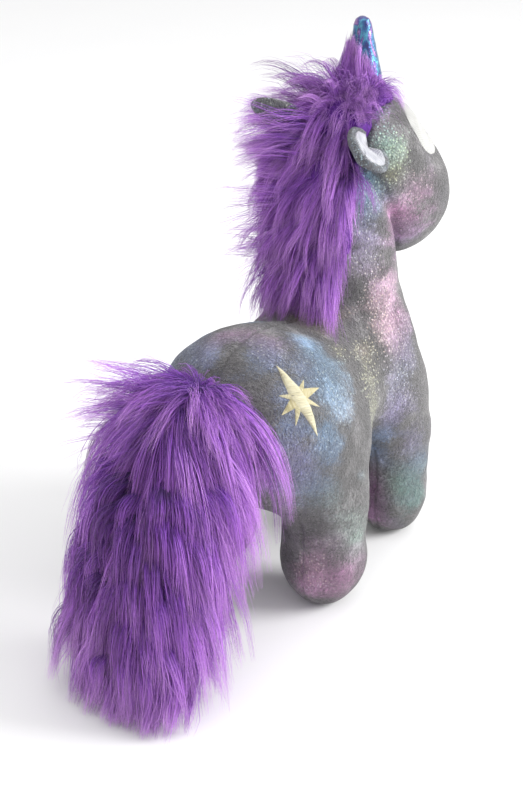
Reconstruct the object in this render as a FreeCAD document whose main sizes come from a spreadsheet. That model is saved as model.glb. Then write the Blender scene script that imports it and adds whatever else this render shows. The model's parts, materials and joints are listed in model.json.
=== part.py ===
import FreeCAD, Part
import math
import os
import re
import Sketcher

# A standing plush unicorn that faces -Y, with its right side at -X and its soles on Z = 0.
# The origin is on the floor, under the middle of the whole toy's box.

DIMENSIONS = {
    # whole toy
    "y_shift": -9.5,      # moves the toy so that its box is centred on the origin
    "skin": 1.5,           # fabric and its seam allowance
    "gap": 0.3,            # between sewn layers and between panels
    "running": 0.6,        # between pieces that move on each other
    # torso: round forms that the stuffed cloth follows (centre y and z, radii)
    "torso_y": -14, "torso_z": 122, "torso_rx": 54, "torso_ry": 92, "torso_rz": 46,
    "rump_y": 26, "rump_z": 124, "rump_radius": 56,
    "chest_y": -78, "chest_z": 118, "chest_rx": 53, "chest_ry": 42, "chest_rz": 55,
    "haunch_x": 34, "haunch_y": 8, "haunch_z": 98, "haunch_rx": 31, "haunch_ry": 42, "haunch_rz": 42,
    "shoulder_x": 31, "shoulder_y": -86, "shoulder_z": 98,
    "shoulder_rx": 28, "shoulder_ry": 31, "shoulder_rz": 42,
    "gusset_half": 17, "gusset_top": 92,
    # legs
    "hip_z": 66, "foot_z": 26, "foot_rz": 30,
    "hind_x": 41, "hind_y": 7, "hind_top": 27, "hind_foot": 26,
    "fore_x": 37, "fore_y": -90, "fore_top": 24, "fore_foot": 23,
    # neck: a cone that leans forward, with round ends hidden in torso and head
    "neck_y": -76, "neck_z": 150, "neck_base": 42, "neck_top": 27, "neck_length": 88, "neck_lean": 5.2,
    "nod_up": 6, "neck_clear": 1.6,
    # head
    "head_y": -106, "head_z": 250, "head_rx": 40, "head_ry": 38, "head_rz": 42,
    "muzzle_y": -128, "muzzle_z": 224, "muzzle_rx": 46, "muzzle_ry": 38, "muzzle_rz": 43,
    "forehead_half": 16, "forehead_low": 228,
    # horn
    "horn_y": -104, "horn_z": 291, "horn_base": 12, "horn_tip": 5, "horn_length": 44, "horn_lean": 8,
    # ears
    "ear_x": 25.5, "ear_y": -72.5, "ear_z": 267.5, "ear_length": 44, "ear_width": 29,
    "ear_yaw": 28, "ear_pitch": 27, "ear_roll": 34, "ear_skin": 1.6, "ear_lining": 1.2, "ear_rim": 3,
    # fur
    "mane_upper_y": -50, "mane_upper_z": 262, "mane_upper_rx": 29, "mane_upper_ry": 27, "mane_upper_rz": 24,
    "mane_lower_y": -33, "mane_lower_z": 222, "mane_lower_rx": 35, "mane_lower_ry": 34, "mane_lower_rz": 33,
    "crown_y": -67, "crown_z": 290, "crown_rx": 23, "crown_ry": 17, "crown_rz": 30,
    "mane_cut": 250, "backing_half": 15, "backing": 1.0,
    # tail
    "tail_y": 82, "tail_z": 150, "tab_radius": 8, "tab_length": 17, "tab_drop": 20, "tab_swing": 4,
    "tuft_y": 110, "tuft_z": 138, "tuft_rx": 31, "tuft_ry": 22, "tuft_rz": 27,
    "plume_y": 123, "plume_z": 90, "plume_rx": 50, "plume_ry": 31, "plume_rz": 68, "plume_lean": -13,
    "brush_y": 140, "brush_z": 44.5, "brush_rx": 60, "brush_ry": 45, "brush_rz": 43,
    "core_radius": 7, "core_length": 70, "core_drop": 62,
    # embroidery
    "thread": 0.9, "star_long": 27, "star_mid": 19, "star_short": 11, "star_inner": 8.5,
    "star_x": -41, "star_y": 46, "star_z": 152,
    "eye_x": 26, "eye_y": -127, "eye_z": 270, "eye_rx": 15, "eye_ry": 19, "eye_rz": 20,
    "pupil_x": 20.5, "pupil_y": -137, "pupil_z": 265, "pupil_rx": 8, "pupil_ry": 8, "pupil_rz": 11,
    "nostril_x": 17, "nostril_z": 214, "nostril_half": 3.2,
    "stitch_radius": 0.5, "stitch_length": 4.0, "stitch_pitch": 4.5, "stitch_y": -48, "stitch_count": 5,
}
BIG = 400.0

doc = FreeCAD.newDocument("plush_unicorn")
sheet = doc.addObject("Spreadsheet::Sheet", "Dims")
for row, (alias, number) in enumerate(DIMENSIONS.items(), start=1):
    sheet.set(f"A{row}", alias)
    sheet.set(f"B{row}", str(number))
    sheet.setAlias(f"B{row}", alias)
doc.recompute()

SUBPARTS = []


def cell(alias):
    """The number in one cell of the sheet."""
    return float(sheet.get(alias))


def linked(expression):
    """The expression with each cell's name turned into a reference to that cell."""
    def reference(word):
        return f"Dims.{word.group()}" if word.group() in DIMENSIONS else word.group()
    return re.sub(r"[a-z][a-z_]*", reference, str(expression))


def bind(thing, **sizes):
    for prop, expression in sizes.items():
        thing.setExpression(prop.replace("__", "."), linked(expression))
    return thing


def place(thing, x, y, z):
    """Puts a thing at a point given as expressions, in the toy's own coordinates."""
    bind(thing, Placement__Base__x=x, Placement__Base__y=f"{y} + y_shift", Placement__Base__z=z)
    return thing


def keep(thing, label):
    """Marks a finished object as one sub-part, whose file gets this name."""
    thing.Label = label
    SUBPARTS.append(thing)
    return thing


def fuse(name, things):
    joined = doc.addObject("Part::MultiFuse", name)
    joined.Shapes = things
    return joined


def cut(name, base, tool):
    rest = doc.addObject("Part::Cut", name)
    rest.Base = base
    rest.Tool = tool
    return rest


def common(name, first, second):
    overlap = doc.addObject("Part::Common", name)
    overlap.Base = first
    overlap.Tool = second
    return overlap


def ellipsoid(name, form, side=0, grow="0"):
    """A round form whose cells start with its name, at x = side times form_x."""
    ball = doc.addObject("Part::Ellipsoid", name)
    bind(ball, Radius1=f"{form}_rz + {grow}", Radius2=f"{form}_rx + {grow}", Radius3=f"{form}_ry + {grow}")
    x = f"{side} * {form}_x" if side else "0"
    return place(ball, x, f"{form}_y", f"{form}_z")


def sphere(name, radius, x, y, z):
    ball = doc.addObject("Part::Sphere", name)
    bind(ball, Radius=radius)
    return place(ball, x, y, z)


def cone(name, low, high, height, x, y, z):
    frustum = doc.addObject("Part::Cone", name)
    bind(frustum, Radius1=low, Radius2=high, Height=height)
    return place(frustum, x, y, z)


def lean(thing, angle):
    """Turns a thing about X through its own base: a positive angle tips its top forward, towards -Y."""
    thing.Placement.Rotation = FreeCAD.Rotation(FreeCAD.Vector(1, 0, 0), 0)
    bind(thing, Placement__Rotation__Angle=angle)
    return thing


def box(name, x, y, z, length, width, height):
    block = doc.addObject("Part::Box", name)
    bind(block, Length=length, Width=width, Height=height)
    return place(block, x, y, z)


def side_box(name, side, middle, clear="gap / 2"):
    """Everything on one side of the plane x = middle, less a small clearance."""
    x = f"{middle} + {clear}" if side > 0 else f"{middle} - {clear} - {BIG}"
    return box(name, x, -BIG / 2, -BIG / 4, BIG, BIG, 2 * BIG)


def sketch_on(body, plane, name):
    """A sketch on one of a body's own origin planes."""
    drawing = body.newObject("Sketcher::SketchObject", name)
    support = next(f for f in body.Origin.OriginFeatures if f.Role == plane)
    drawing.AttachmentSupport = (support, [""])
    drawing.MapMode = "FlatFace"
    return drawing


def outline(drawing, points):
    """A closed outline of straight edges whose corners are bound to expressions (x, y)."""
    count = len(points)
    spots = [FreeCAD.Vector(number(x), number(y), 0) for x, y in points]
    for i in range(count):
        drawing.addGeometry(Part.LineSegment(spots[i], spots[(i + 1) % count]), False)
    for i in range(count):
        drawing.addConstraint(Sketcher.Constraint("Coincident", i, 2, (i + 1) % count, 1))
    for i, (x, y) in enumerate(points):
        pin(drawing, i, "DistanceX", f"across_{i}", x, spots[i].x)
        pin(drawing, i, "DistanceY", f"along_{i}", y, spots[i].y)


def pin(drawing, line, kind, name, expression, value):
    """Holds the start of one edge at a distance from the sketch's origin."""
    index = drawing.addConstraint(Sketcher.Constraint(kind, -1, 1, line, 1, value))
    drawing.renameConstraint(index, name)
    drawing.setExpression(f"Constraints.{name}", linked(expression))


def number(expression):
    """The value of an expression of cells."""
    return float(sheet.evalExpression(linked(expression)))


# ---------------------------------------------------------------- torso

LEGS = {
    "left_hind": ("hind", 1),
    "right_hind": ("hind", -1),
    "left_front": ("fore", 1),
    "right_front": ("fore", -1),
}


def torso_form(name, grow):
    """The outside of the stuffed torso, grown or shrunk all round."""
    forms = [ellipsoid(f"{name}_{form}", form, grow=grow) for form in ("torso", "chest")]
    forms.append(sphere(f"{name}_rump", f"rump_radius + {grow}", "0", "rump_y", "rump_z"))
    for side in (-1, 1):
        forms.append(ellipsoid(f"{name}_haunch", "haunch", side, grow))
        forms.append(ellipsoid(f"{name}_shoulder", "shoulder", side, grow))
    return fuse(name, forms)


def neck_form(name, grow, tilt="0"):
    """The neck's cone with its two round ends, tilted forward about the middle of its base."""
    base = ("0", "neck_y", "neck_z")
    lower = sphere(f"{name}_lower", f"neck_base + {grow}", *base)
    trunk = lean(cone(f"{name}_trunk", f"neck_base + {grow}", f"neck_top + {grow}", "neck_length", *base),
                 f"neck_lean + {tilt}")
    angle = f"(neck_lean + {tilt}) * 1deg"
    upper = sphere(f"{name}_upper", f"neck_top + {grow}", "0", f"neck_y - neck_length * sin({angle})",
                   f"neck_z + neck_length * cos({angle})")
    return fuse(name, [lower, trunk, upper])


def leg_form(name, kind, side, grow):
    """A leg: a rounded foot cut flat at the sole, a tapered shank and a ball inside the hip."""
    x = f"{side} * {kind}_x"
    y = f"{kind}_y"
    foot = doc.addObject("Part::Ellipsoid", f"{name}_foot")
    bind(foot, Radius1=f"foot_rz + {grow}", Radius2=f"{kind}_foot + {grow}", Radius3=f"{kind}_foot + {grow}")
    place(foot, x, y, "foot_z")
    shank = cone(f"{name}_shank", f"{kind}_foot + {grow}", f"{kind}_top + {grow}", "hip_z - foot_z", x, y, "foot_z")
    ball = sphere(f"{name}_ball", f"{kind}_top + {grow}", x, y, "hip_z")
    floor = box(f"{name}_floor", -BIG / 2, -BIG / 2, f"-({grow}) - {BIG}", BIG, BIG, BIG)
    return cut(name, fuse(f"{name}_round", [foot, shank, ball]), floor)


def swept_room():
    """What the torso leaves free for the four legs and for the neck, which comes nearest when it nods up."""
    room = []
    for name, (kind, side) in LEGS.items():
        x = f"{side} * {kind}_x"
        room.append(sphere(f"{name}_socket", f"{kind}_top + running", x, f"{kind}_y", "hip_z"))
    room.append(sphere("neck_socket", "neck_base + neck_clear", "0", "neck_y", "neck_z"))
    trunk = cone("neck_sweep", "neck_base + running", "neck_top + running", "neck_length", "0", "neck_y", "neck_z")
    room.append(lean(trunk, "neck_lean - nod_up"))
    room.append(box("under_hips", -BIG / 2, -BIG / 2, f"hip_z - {BIG}", BIG, BIG, BIG))
    return room


def cut_each(name, base, tools):
    """The base less each tool in turn."""
    for index, tool in enumerate(tools):
        base = cut(f"{name}_{index}", base, tool)
    return base


def torso():
    room = swept_room()
    outside = cut_each("torso_outside", torso_form("torso_skin", "0"), room)
    shell = cut("torso_shell", outside, torso_form("torso_lining", "-skin"))
    gusset_space = box("gusset_space", "-gusset_half", -BIG / 2, "0", "2 * gusset_half", BIG, "gusset_top")
    gusset_hole = box("gusset_hole", "-gusset_half - gap", -BIG / 2, "0", "2 * (gusset_half + gap)", BIG,
                      "gusset_top + gap")
    keep(common("belly_gusset_cut", shell, gusset_space), "belly_gusset")
    flanks = cut("flanks", shell, gusset_hole)
    keep(common("left_flank_cut", flanks, side_box("left_side", 1, "0")), "left_flank_panel")
    keep(common("right_flank_cut", flanks, side_box("right_side", -1, "0")), "right_flank_panel")
    keep(cut_each("torso_filling_cut", torso_form("torso_stuffing", "-skin - gap"), room), "torso_filling")


def legs():
    for name, (kind, side) in LEGS.items():
        x = f"{side} * {kind}_x"
        skin = cut(f"{name}_skin", leg_form(f"{name}_outside", kind, side, "0"),
                   leg_form(f"{name}_inside", kind, side, "-skin"))
        above = box(f"{name}_above", -BIG / 2, -BIG / 2, "hip_z", BIG, BIG, BIG)
        sleeve = cut(f"{name}_sleeve", skin, above)
        keep(common(f"{name}_outer_cut", sleeve, side_box(f"{name}_outer_side", side, x)), f"{name}_outer_panel")
        keep(common(f"{name}_inner_cut", sleeve, side_box(f"{name}_inner_side", -side, x)), f"{name}_inner_panel")
        stuffing = leg_form(f"{name}_stuffing", kind, side, "-skin - gap")
        keep(stuffing, f"{name}_filling")


# ---------------------------------------------------------------- neck

def neck():
    shell = cut("neck_shell", neck_form("neck_skin", "0"), neck_form("neck_lining", "-skin"))
    slab = box("neck_slab", -BIG / 2, -BIG / 2, "neck_z + skin", BIG, BIG, "head_z - neck_z - neck_top")
    tube = common("neck_tube", shell, slab)
    keep(common("left_neck_cut", tube, side_box("left_neck_side", 1, "0")), "left_neck_panel")
    keep(common("right_neck_cut", tube, side_box("right_neck_side", -1, "0")), "right_neck_panel")
    keep(neck_form("neck_stuffing", "-skin - gap"), "neck_filling")


# ---------------------------------------------------------------- head

def head_form(name, grow):
    return fuse(name, [ellipsoid(f"{name}_skull", "head", grow=grow),
                       ellipsoid(f"{name}_muzzle", "muzzle", grow=grow)])


def head_room():
    """What the head leaves free for the top of the neck and the foot of the horn."""
    horn = sphere("horn_socket", "horn_base + running", "0", "horn_y", "horn_z")
    return fuse("room_in_head", [neck_form("neck_in_head", "running"), horn])


def head():
    room = head_room()
    outside = cut("head_outside", head_form("head_skin", "0"), room)
    shell = cut("head_shell", outside, head_form("head_lining", "-skin"))
    strip = box("forehead_space", "-forehead_half", -BIG / 2, "forehead_low", "2 * forehead_half", BIG, BIG)
    hole = box("forehead_hole", "-forehead_half - gap", -BIG / 2, "forehead_low - gap",
               "2 * (forehead_half + gap)", BIG, BIG)
    keep(common("forehead_cut", shell, strip), "forehead_gusset")
    cheeks = cut("cheeks", shell, hole)
    keep(common("left_cheek_cut", cheeks, side_box("left_cheek_side", 1, "0")), "left_cheek_panel")
    keep(common("right_cheek_cut", cheeks, side_box("right_cheek_side", -1, "0")), "right_cheek_panel")
    keep(cut("head_filling_cut", head_form("head_stuffing", "-skin - gap"), room), "head_filling")


def layer(name, form, low, high):
    """A thin layer over a round form, from low to high above the cloth."""
    return cut(name, form(f"{name}_over", high), form(f"{name}_under", low))


def rod_along_y(name, x, z, half_width, half_height):
    """An upright ellipse run along Y, which cuts a patch out of a layer on the face."""
    rod = doc.addObject("Part::Ellipsoid", name)
    bind(rod, Radius1=half_height, Radius2=half_width, Radius3=BIG / 8)
    return place(rod, x, f"muzzle_y - {BIG / 8}", z)


def face():
    """Eye patches, pupils and nostrils, all of them satin stitch on the cloth."""
    eye_layer = layer("eye_layer", head_form, "gap / 3", "thread")
    pupil_layer = layer("pupil_layer", head_form, "thread + gap / 3", "2 * thread")
    for label, side in (("left", 1), ("right", -1)):
        patch = ellipsoid(f"{label}_eye_form", "eye", side)
        keep(common(f"{label}_eye_cut", eye_layer, patch), f"{label}_eye_patch")
        dark = ellipsoid(f"{label}_pupil_form", "pupil", side)
        keep(common(f"{label}_pupil_cut", pupil_layer, dark), f"{label}_pupil")
    dots = [rod_along_y(f"nostril_rod_{side}", f"{side} * nostril_x", "nostril_z", "nostril_half",
                        "nostril_half * 1.4") for side in (-1, 1)]
    keep(common("nostril_cut", eye_layer, fuse("nostril_rods", dots)), "nostril_embroidery")


# ---------------------------------------------------------------- horn

def turned(name, points):
    """A body turned about its own Z from an outline of (radius, height) points."""
    body = doc.addObject("PartDesign::Body", name)
    drawing = sketch_on(body, "XZ_Plane", f"{name}_outline")
    outline(drawing, points)
    revolution = body.newObject("PartDesign::Revolution", f"{name}_turn")
    revolution.Profile = drawing
    revolution.ReferenceAxis = (drawing, ["V_Axis"])
    revolution.Angle = 360.0
    doc.recompute()
    return body


def horn():
    """A foil cone over a stuffed core, with a round foot sunk in the forehead."""
    cover = turned("horn_cover_body", [
        ("horn_base - skin", "0"),
        ("horn_base", "0"),
        ("horn_tip", "horn_length"),
        ("horn_tip * 3 / 4", "horn_length + horn_tip / 2"),
        ("0", "horn_length + horn_tip"),
        ("0", "horn_length + horn_tip - skin"),
        ("horn_tip - skin", "horn_length - skin / 2"),
    ])
    place(cover, "0", "horn_y", "horn_z")
    lean(cover, "-horn_lean")
    keep(cover, "horn_cover")
    core = turned("horn_core_body", [
        ("0", "-horn_base * 4 / 5"),
        ("horn_base / 2", "-horn_base * 4 / 5"),
        ("horn_base * 4 / 5", "-horn_base / 3"),
        ("horn_base - skin - gap", "0"),
        ("horn_tip - skin - gap", "horn_length - skin"),
        ("0", "horn_length"),
    ])
    place(core, "0", "horn_y", "horn_z")
    lean(core, "-horn_lean")
    keep(core, "horn_filling")


# ---------------------------------------------------------------- ears

def ear_rotation(side):
    """Turns +Y outwards and up to the ear's own direction, with +Z as the side that it opens to."""
    yaw = FreeCAD.Rotation(FreeCAD.Vector(0, 0, 1), -side * cell("ear_yaw"))
    pitch = FreeCAD.Rotation(FreeCAD.Vector(1, 0, 0), cell("ear_pitch"))
    roll = FreeCAD.Rotation(FreeCAD.Vector(0, 1, 0), side * cell("ear_roll"))
    return yaw.multiply(pitch).multiply(roll)


def leaf(name, rim, thickness):
    """An ear-shaped leaf with its foot at the origin, pointing along +Y."""
    body = doc.addObject("PartDesign::Body", name)
    drawing = sketch_on(body, "XY_Plane", f"{name}_outline")
    shape = ((0.30, 0.0), (0.46, 0.25), (0.50, 0.45), (0.40, 0.70), (0.20, 0.90))
    right = [(f"{u} * (ear_width - 2 * {rim})", f"{rim} + {v} * (ear_length - 2 * {rim})") for u, v in shape]
    left = [(f"-{u} * (ear_width - 2 * {rim})", f"{rim} + {v} * (ear_length - 2 * {rim})")
            for u, v in reversed(shape)]
    tip = [("0", f"ear_length - {rim}")]
    outline(drawing, right + tip + left)
    pad = body.newObject("PartDesign::Pad", f"{name}_pad")
    pad.Profile = drawing
    bind(pad, Length=thickness)
    doc.recompute()
    return body


def ears():
    for label, side in (("left", 1), ("right", -1)):
        turn = ear_rotation(side)
        for part_name, rim, thickness, height in (("outer", "0", "ear_skin", 0.0),
                                                  ("lining", "ear_rim", "ear_lining", cell("ear_skin"))):
            body = leaf(f"{label}_ear_{part_name}_body", rim, thickness)
            foot = FreeCAD.Vector(side * cell("ear_x"), cell("ear_y") + cell("y_shift"), cell("ear_z"))
            body.Placement = FreeCAD.Placement(foot + turn.multVec(FreeCAD.Vector(0, 0, height)), turn)
            keep(body, f"{label}_ear_{part_name}")


# ---------------------------------------------------------------- fur

def ear_room():
    """Cones that keep the fur clear of both ears as they fold."""
    cones = []
    for side in (-1, 1):
        room = cone(f"ear_room_{side}", "ear_width * 0.62", "ear_width * 1.2", "ear_length + 12",
                    f"{side} * ear_x", "ear_y", "ear_z")
        forward = ear_rotation(side).multiply(FreeCAD.Rotation(FreeCAD.Vector(1, 0, 0), -90))
        room.Placement.Rotation = forward
        cones.append(room)
    return cones


def fur():
    """The pile stands on the cloth as one soft mass for the neck and one for the crown."""
    upper = ellipsoid("mane_upper_form", "mane_upper")
    lower = ellipsoid("mane_lower_form", "mane_lower")
    under = [neck_form("neck_under_mane", "backing + 2 * gap"), head_form("head_under_mane", "running")]
    backing_layer = layer("backing_layer", neck_form, "gap", "gap + backing")
    behind = box("behind_neck", "-backing_half", "neck_y", "mane_lower_z - 30", "2 * backing_half", BIG,
                 "mane_cut - 20 - mane_lower_z + 30")
    keep(common("mane_backing_cut", backing_layer, behind), "mane_backing")
    mass = cut("mane_mass", fuse("mane_forms", [upper, lower]), fuse("under_mane", under + ear_room()))
    low = box("below_mane_cut", -BIG / 2, -BIG / 2, "0", BIG, BIG, "mane_cut - running")
    keep(common("neck_mane_cut", mass, low), "neck_mane")
    crown = fuse("crown_forms", [ellipsoid("crown_form", "crown"), ellipsoid("crown_upper_form", "mane_upper")])
    taken = [head_form("head_under_crown", "gap"), neck_form("neck_under_crown", "running"),
             box("below_crown", -BIG / 2, -BIG / 2, f"mane_cut - {BIG}", BIG, BIG, BIG)]
    swing = cone("horn_room", "horn_base + 1", "horn_base + 8", "horn_length + 12", "0", "horn_y", "horn_z - 8")
    keep(cut("crown_cut", crown, fuse("crown_taken", taken + [swing] + ear_room())), "crown_fur")


def tail():
    """A sewn tab, a stuffed core and the long plume of fur that hides both."""
    tab = doc.addObject("Part::Cylinder", "tail_tab_cylinder")
    bind(tab, Radius="tab_radius", Height="tab_length")
    place(tab, "0", "tail_y", "tail_z")
    lean(tab, "-90 - tab_drop")
    keep(tab, "tail_tab")
    core = doc.addObject("Part::Cylinder", "tail_core_cylinder")
    bind(core, Radius="core_radius", Height="core_length")
    place(core, "0", "tuft_y - 4", "tuft_z")
    lean(core, "-90 - core_drop")
    keep(core, "tail_core")
    forms = [ellipsoid(f"tail_{form}", form) for form in ("tuft", "plume", "brush")]
    lean(forms[1], "plume_lean")
    core_room = doc.addObject("Part::Cylinder", "tail_core_room")
    bind(core_room, Radius="core_radius + gap", Height="core_length + 2 * gap")
    place(core_room, "0", "tuft_y - 4 - gap", "tuft_z + gap")
    lean(core_room, "-90 - core_drop")
    tab_room = doc.addObject("Part::Cylinder", "tail_tab_room")
    bind(tab_room, Radius="tab_radius + tab_swing", Height="tab_length + tab_swing")
    place(tab_room, "0", "tail_y", "tail_z")
    lean(tab_room, "-90 - tab_drop")
    keep(cut("tail_fur_cut", fuse("tail_forms", forms), fuse("tail_rooms", [core_room, tab_room])), "tail_fur")


# ---------------------------------------------------------------- embroidery

def star():
    """A star of uneven points, stitched over the right haunch so that it follows the cloth."""
    body = doc.addObject("PartDesign::Body", "star_prism")
    drawing = sketch_on(body, "XY_Plane", "star_outline")
    reaches = ["star_long", "star_short", "star_mid", "star_short"] * 2
    corners = []
    for index, reach in enumerate(reaches):
        for size, turn in ((reach, index * 45.0), ("star_inner", index * 45.0 + 22.5)):
            angle = math.radians(turn)
            corners.append((f"{size} * {math.sin(angle):.6f}", f"{size} * {math.cos(angle):.6f}"))
    outline(drawing, corners)
    pad = body.newObject("PartDesign::Pad", "star_pad")
    pad.Profile = drawing
    bind(pad, Length="haunch_rx")
    doc.recompute()
    centre = FreeCAD.Vector(cell("star_x"), cell("star_y"), cell("star_z"))
    middle = FreeCAD.Vector(0, cell("rump_y"), cell("rump_z"))
    outward = (centre - middle).normalize()
    turn = FreeCAD.Rotation(FreeCAD.Vector(0, 0, 1), outward)
    shift = FreeCAD.Vector(0, cell("y_shift"), 0)
    body.Placement = FreeCAD.Placement(centre + shift - outward * cell("haunch_rx") / 2, turn)
    star_layer = layer("star_layer", torso_form, "gap / 3", "thread")
    keep(common("star_cut", star_layer, body), "star_embroidery")


def closing_stitches():
    """The row of hand stitches that closes the belly, across one edge of the gusset."""
    x = cell("gusset_half")
    wide, tall = cell("torso_rx"), cell("torso_rz")
    stitches = []
    for index in range(int(cell("stitch_count"))):
        y = cell("stitch_y") + index * cell("stitch_pitch")
        depth = math.sqrt(1.0 - (x / wide) ** 2 - ((y - cell("torso_y")) / cell("torso_ry")) ** 2)
        across = FreeCAD.Vector(1, 0, tall * x / (wide ** 2 * depth)).normalize()
        outward = FreeCAD.Vector(across.z, 0, -across.x)
        middle = FreeCAD.Vector(x, y + cell("y_shift"), cell("torso_z") - tall * depth)
        start = middle + outward * (cell("stitch_radius") + cell("gap")) - across * (cell("stitch_length") / 2)
        stitch = doc.addObject("Part::Cylinder", f"stitch_{index}")
        bind(stitch, Radius="stitch_radius", Height="stitch_length")
        stitch.Placement = FreeCAD.Placement(start, FreeCAD.Rotation(FreeCAD.Vector(0, 0, 1), across))
        stitches.append(stitch)
    row = doc.addObject("Part::Compound", "stitch_row")
    row.Links = stitches
    keep(row, "closing_stitches")


def check_and_write():
    """Stops at any failed object or bad shape, then writes one file for each sub-part."""
    doc.recompute()
    for thing in doc.Objects:
        if "Invalid" in thing.State or "Error" in thing.State:
            raise RuntimeError(f"{thing.Name} failed: {thing.State}")
    os.makedirs("parts", exist_ok=True)
    for thing in SUBPARTS:
        shape = thing.Shape
        if shape.isNull() or not shape.isValid() or not shape.Solids or shape.Volume <= 0:
            raise RuntimeError(f"{thing.Label} has no valid solid")
        print(f"{thing.Label:26s} {len(shape.Solids)} solid(s) {shape.Volume / 1000:9.2f} cm3")
    whole = FreeCAD.BoundBox()
    for thing in SUBPARTS:
        whole.add(thing.Shape.BoundBox)
        thing.Shape.exportStep(f"parts/{thing.Label}.step")
    print(f"box {whole}")


torso()
legs()
neck()
head()
face()
horn()
ears()
fur()
tail()
star()
closing_stitches()
check_and_write()
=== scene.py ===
"""The looks of a standing plush unicorn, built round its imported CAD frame. Metres, +Z up, facing -Y."""
import json
import math

import bpy
import numpy as np
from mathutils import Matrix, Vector


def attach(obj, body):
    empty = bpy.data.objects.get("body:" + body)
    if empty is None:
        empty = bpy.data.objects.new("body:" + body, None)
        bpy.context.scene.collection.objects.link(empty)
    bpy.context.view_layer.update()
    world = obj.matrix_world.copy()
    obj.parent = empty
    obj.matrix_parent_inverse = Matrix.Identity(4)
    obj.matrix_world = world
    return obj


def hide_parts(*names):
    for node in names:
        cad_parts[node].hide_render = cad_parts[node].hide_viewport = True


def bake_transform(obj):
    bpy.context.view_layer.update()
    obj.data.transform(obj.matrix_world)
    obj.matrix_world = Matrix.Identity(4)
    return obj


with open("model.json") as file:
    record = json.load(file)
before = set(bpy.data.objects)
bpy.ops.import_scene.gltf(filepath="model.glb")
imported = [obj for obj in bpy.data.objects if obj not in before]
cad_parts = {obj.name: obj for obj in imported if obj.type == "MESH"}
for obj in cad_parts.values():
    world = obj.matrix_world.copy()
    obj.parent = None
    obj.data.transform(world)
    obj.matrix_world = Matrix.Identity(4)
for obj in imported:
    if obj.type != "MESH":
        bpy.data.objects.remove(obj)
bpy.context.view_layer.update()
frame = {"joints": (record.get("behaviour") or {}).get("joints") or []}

JOINTS = {joint["name"]: joint for joint in frame["joints"]}
MM = 0.001

# Round forms that the stuffed cloth follows, in millimetres before the row's own shift along Y.
FORMS = {
    "torso": ((0, -14, 122), (54, 92, 46)),
    "rump": ((0, 26, 124), (59, 54, 54)),
    "chest": ((0, -78, 118), (53, 42, 55)),
    "haunch": ((34, 8, 98), (31, 42, 42)),
    "shoulder": ((31, -86, 98), (28, 31, 42)),
    "hind_foot": ((41, 7, 27), (26, 27, 30)),
    "fore_foot": ((37, -90, 27), (23, 24, 30)),
    "skull": ((0, -106, 250), (40, 38, 42)),
    "muzzle": ((0, -128, 224), (46, 38, 43)),
}
HIND_LEG = ((41, 7, 72), (41, 7, 30), 27.5, 25.5)
FORE_LEG = ((37, -90, 72), (37, -90, 30), 24.5, 22.5)
NECK_BASE = np.array((0.0, -76.0, 150.0))
NECK_TOP = np.array((0.0, -84.0, 238.0))
NECK_RADII = (42.0, 27.0)
NECK_WAY = np.array((0, -0.325, 0.945))        # the neck's cloth is parted from the body's by a plane across this line, through this point
NECK_START = np.array((0.0, -72.0, 156.0))     # from here
LEG_BEND = (64.0, 44.0)                        # the legs' cloth lies below the first height; the second is not used
LEG_PARTING = -40                              # y between the hind and the front legs
GUSSET_HALF, GUSSET_TOP = 17, 92               # the belly gusset's half width, and how high it reaches
BROW_HALF, BROW_FOOT = 16, 228                 # the forehead gusset's half width, and where it starts
BURIED = -7.0                                  # cloth that lies deeper than this in the other form is cut
STAR_CENTRE = np.array((-43.5, 46.0, 156.5))
EYE = np.array((28.0, -124.0, 271.0))
SHIFT = np.array(JOINTS["neck_nod"]["pos_m"]) / MM - NECK_BASE   # from the forms' frame to the row's


def to_row(points):
    """Points of the forms' frame, in millimetres, as points of the row frame, in metres."""
    return (np.asarray(points, float) + SHIFT) * MM


# ---- fields: distance to a soft form

def ball_field(p, centre, radii):
    q = p - np.array(centre, float)
    k0 = np.linalg.norm(q / radii, axis=-1)
    k1 = np.linalg.norm(q / np.square(np.array(radii, float)), axis=-1)
    return k0 * (k0 - 1.0) / np.maximum(k1, 1e-6)


def limb_field(p, start, end, r_start, r_end):
    a, ab = np.array(start, float), np.array(end, float) - np.array(start, float)
    t = np.clip(((p - a) @ ab) / (ab @ ab), 0.0, 1.0)
    return np.linalg.norm(p - a - t[..., None] * ab, axis=-1) - (r_start + t * (r_end - r_start))


def soft_min(a, b, k):
    mix = np.clip(0.5 + 0.5 * (b - a) / k, 0.0, 1.0)
    return b * (1 - mix) + a * mix - k * mix * (1 - mix)


def mirrored(p):
    """The same points with x turned to the left side, for forms that come in pairs."""
    return np.abs(p) * (1, 0, 0) + p * (0, 1, 1)


def waves(p, length, seed, count=7):
    """Smooth random waves of about the given wavelength, from -1 to 1."""
    rng = np.random.default_rng(seed)
    total = np.zeros(p.shape[:-1])
    for _ in range(count):
        direction = rng.normal(size=3)
        direction *= 2 * math.pi / (length * rng.uniform(0.75, 1.4)) / np.linalg.norm(direction)
        total += np.sin(p @ direction + rng.uniform(0, 2 * math.pi))
    return total / math.sqrt(count * 2)


def neck_plane(p):
    """Height above the slanted plane where the neck's cloth starts."""
    return (p - NECK_START) @ NECK_WAY


def groove(distance, width, depth):
    """How far a seam pulls the cloth in, by distance from its line, less the low swell on each side of it."""
    swell = 0.25 * depth * np.exp(-np.square(distance / (4 * width)))
    return depth * np.exp(-np.square(distance / width)) - swell


def neck_field(p):
    return limb_field(p, NECK_BASE, NECK_TOP, *NECK_RADII)


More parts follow.
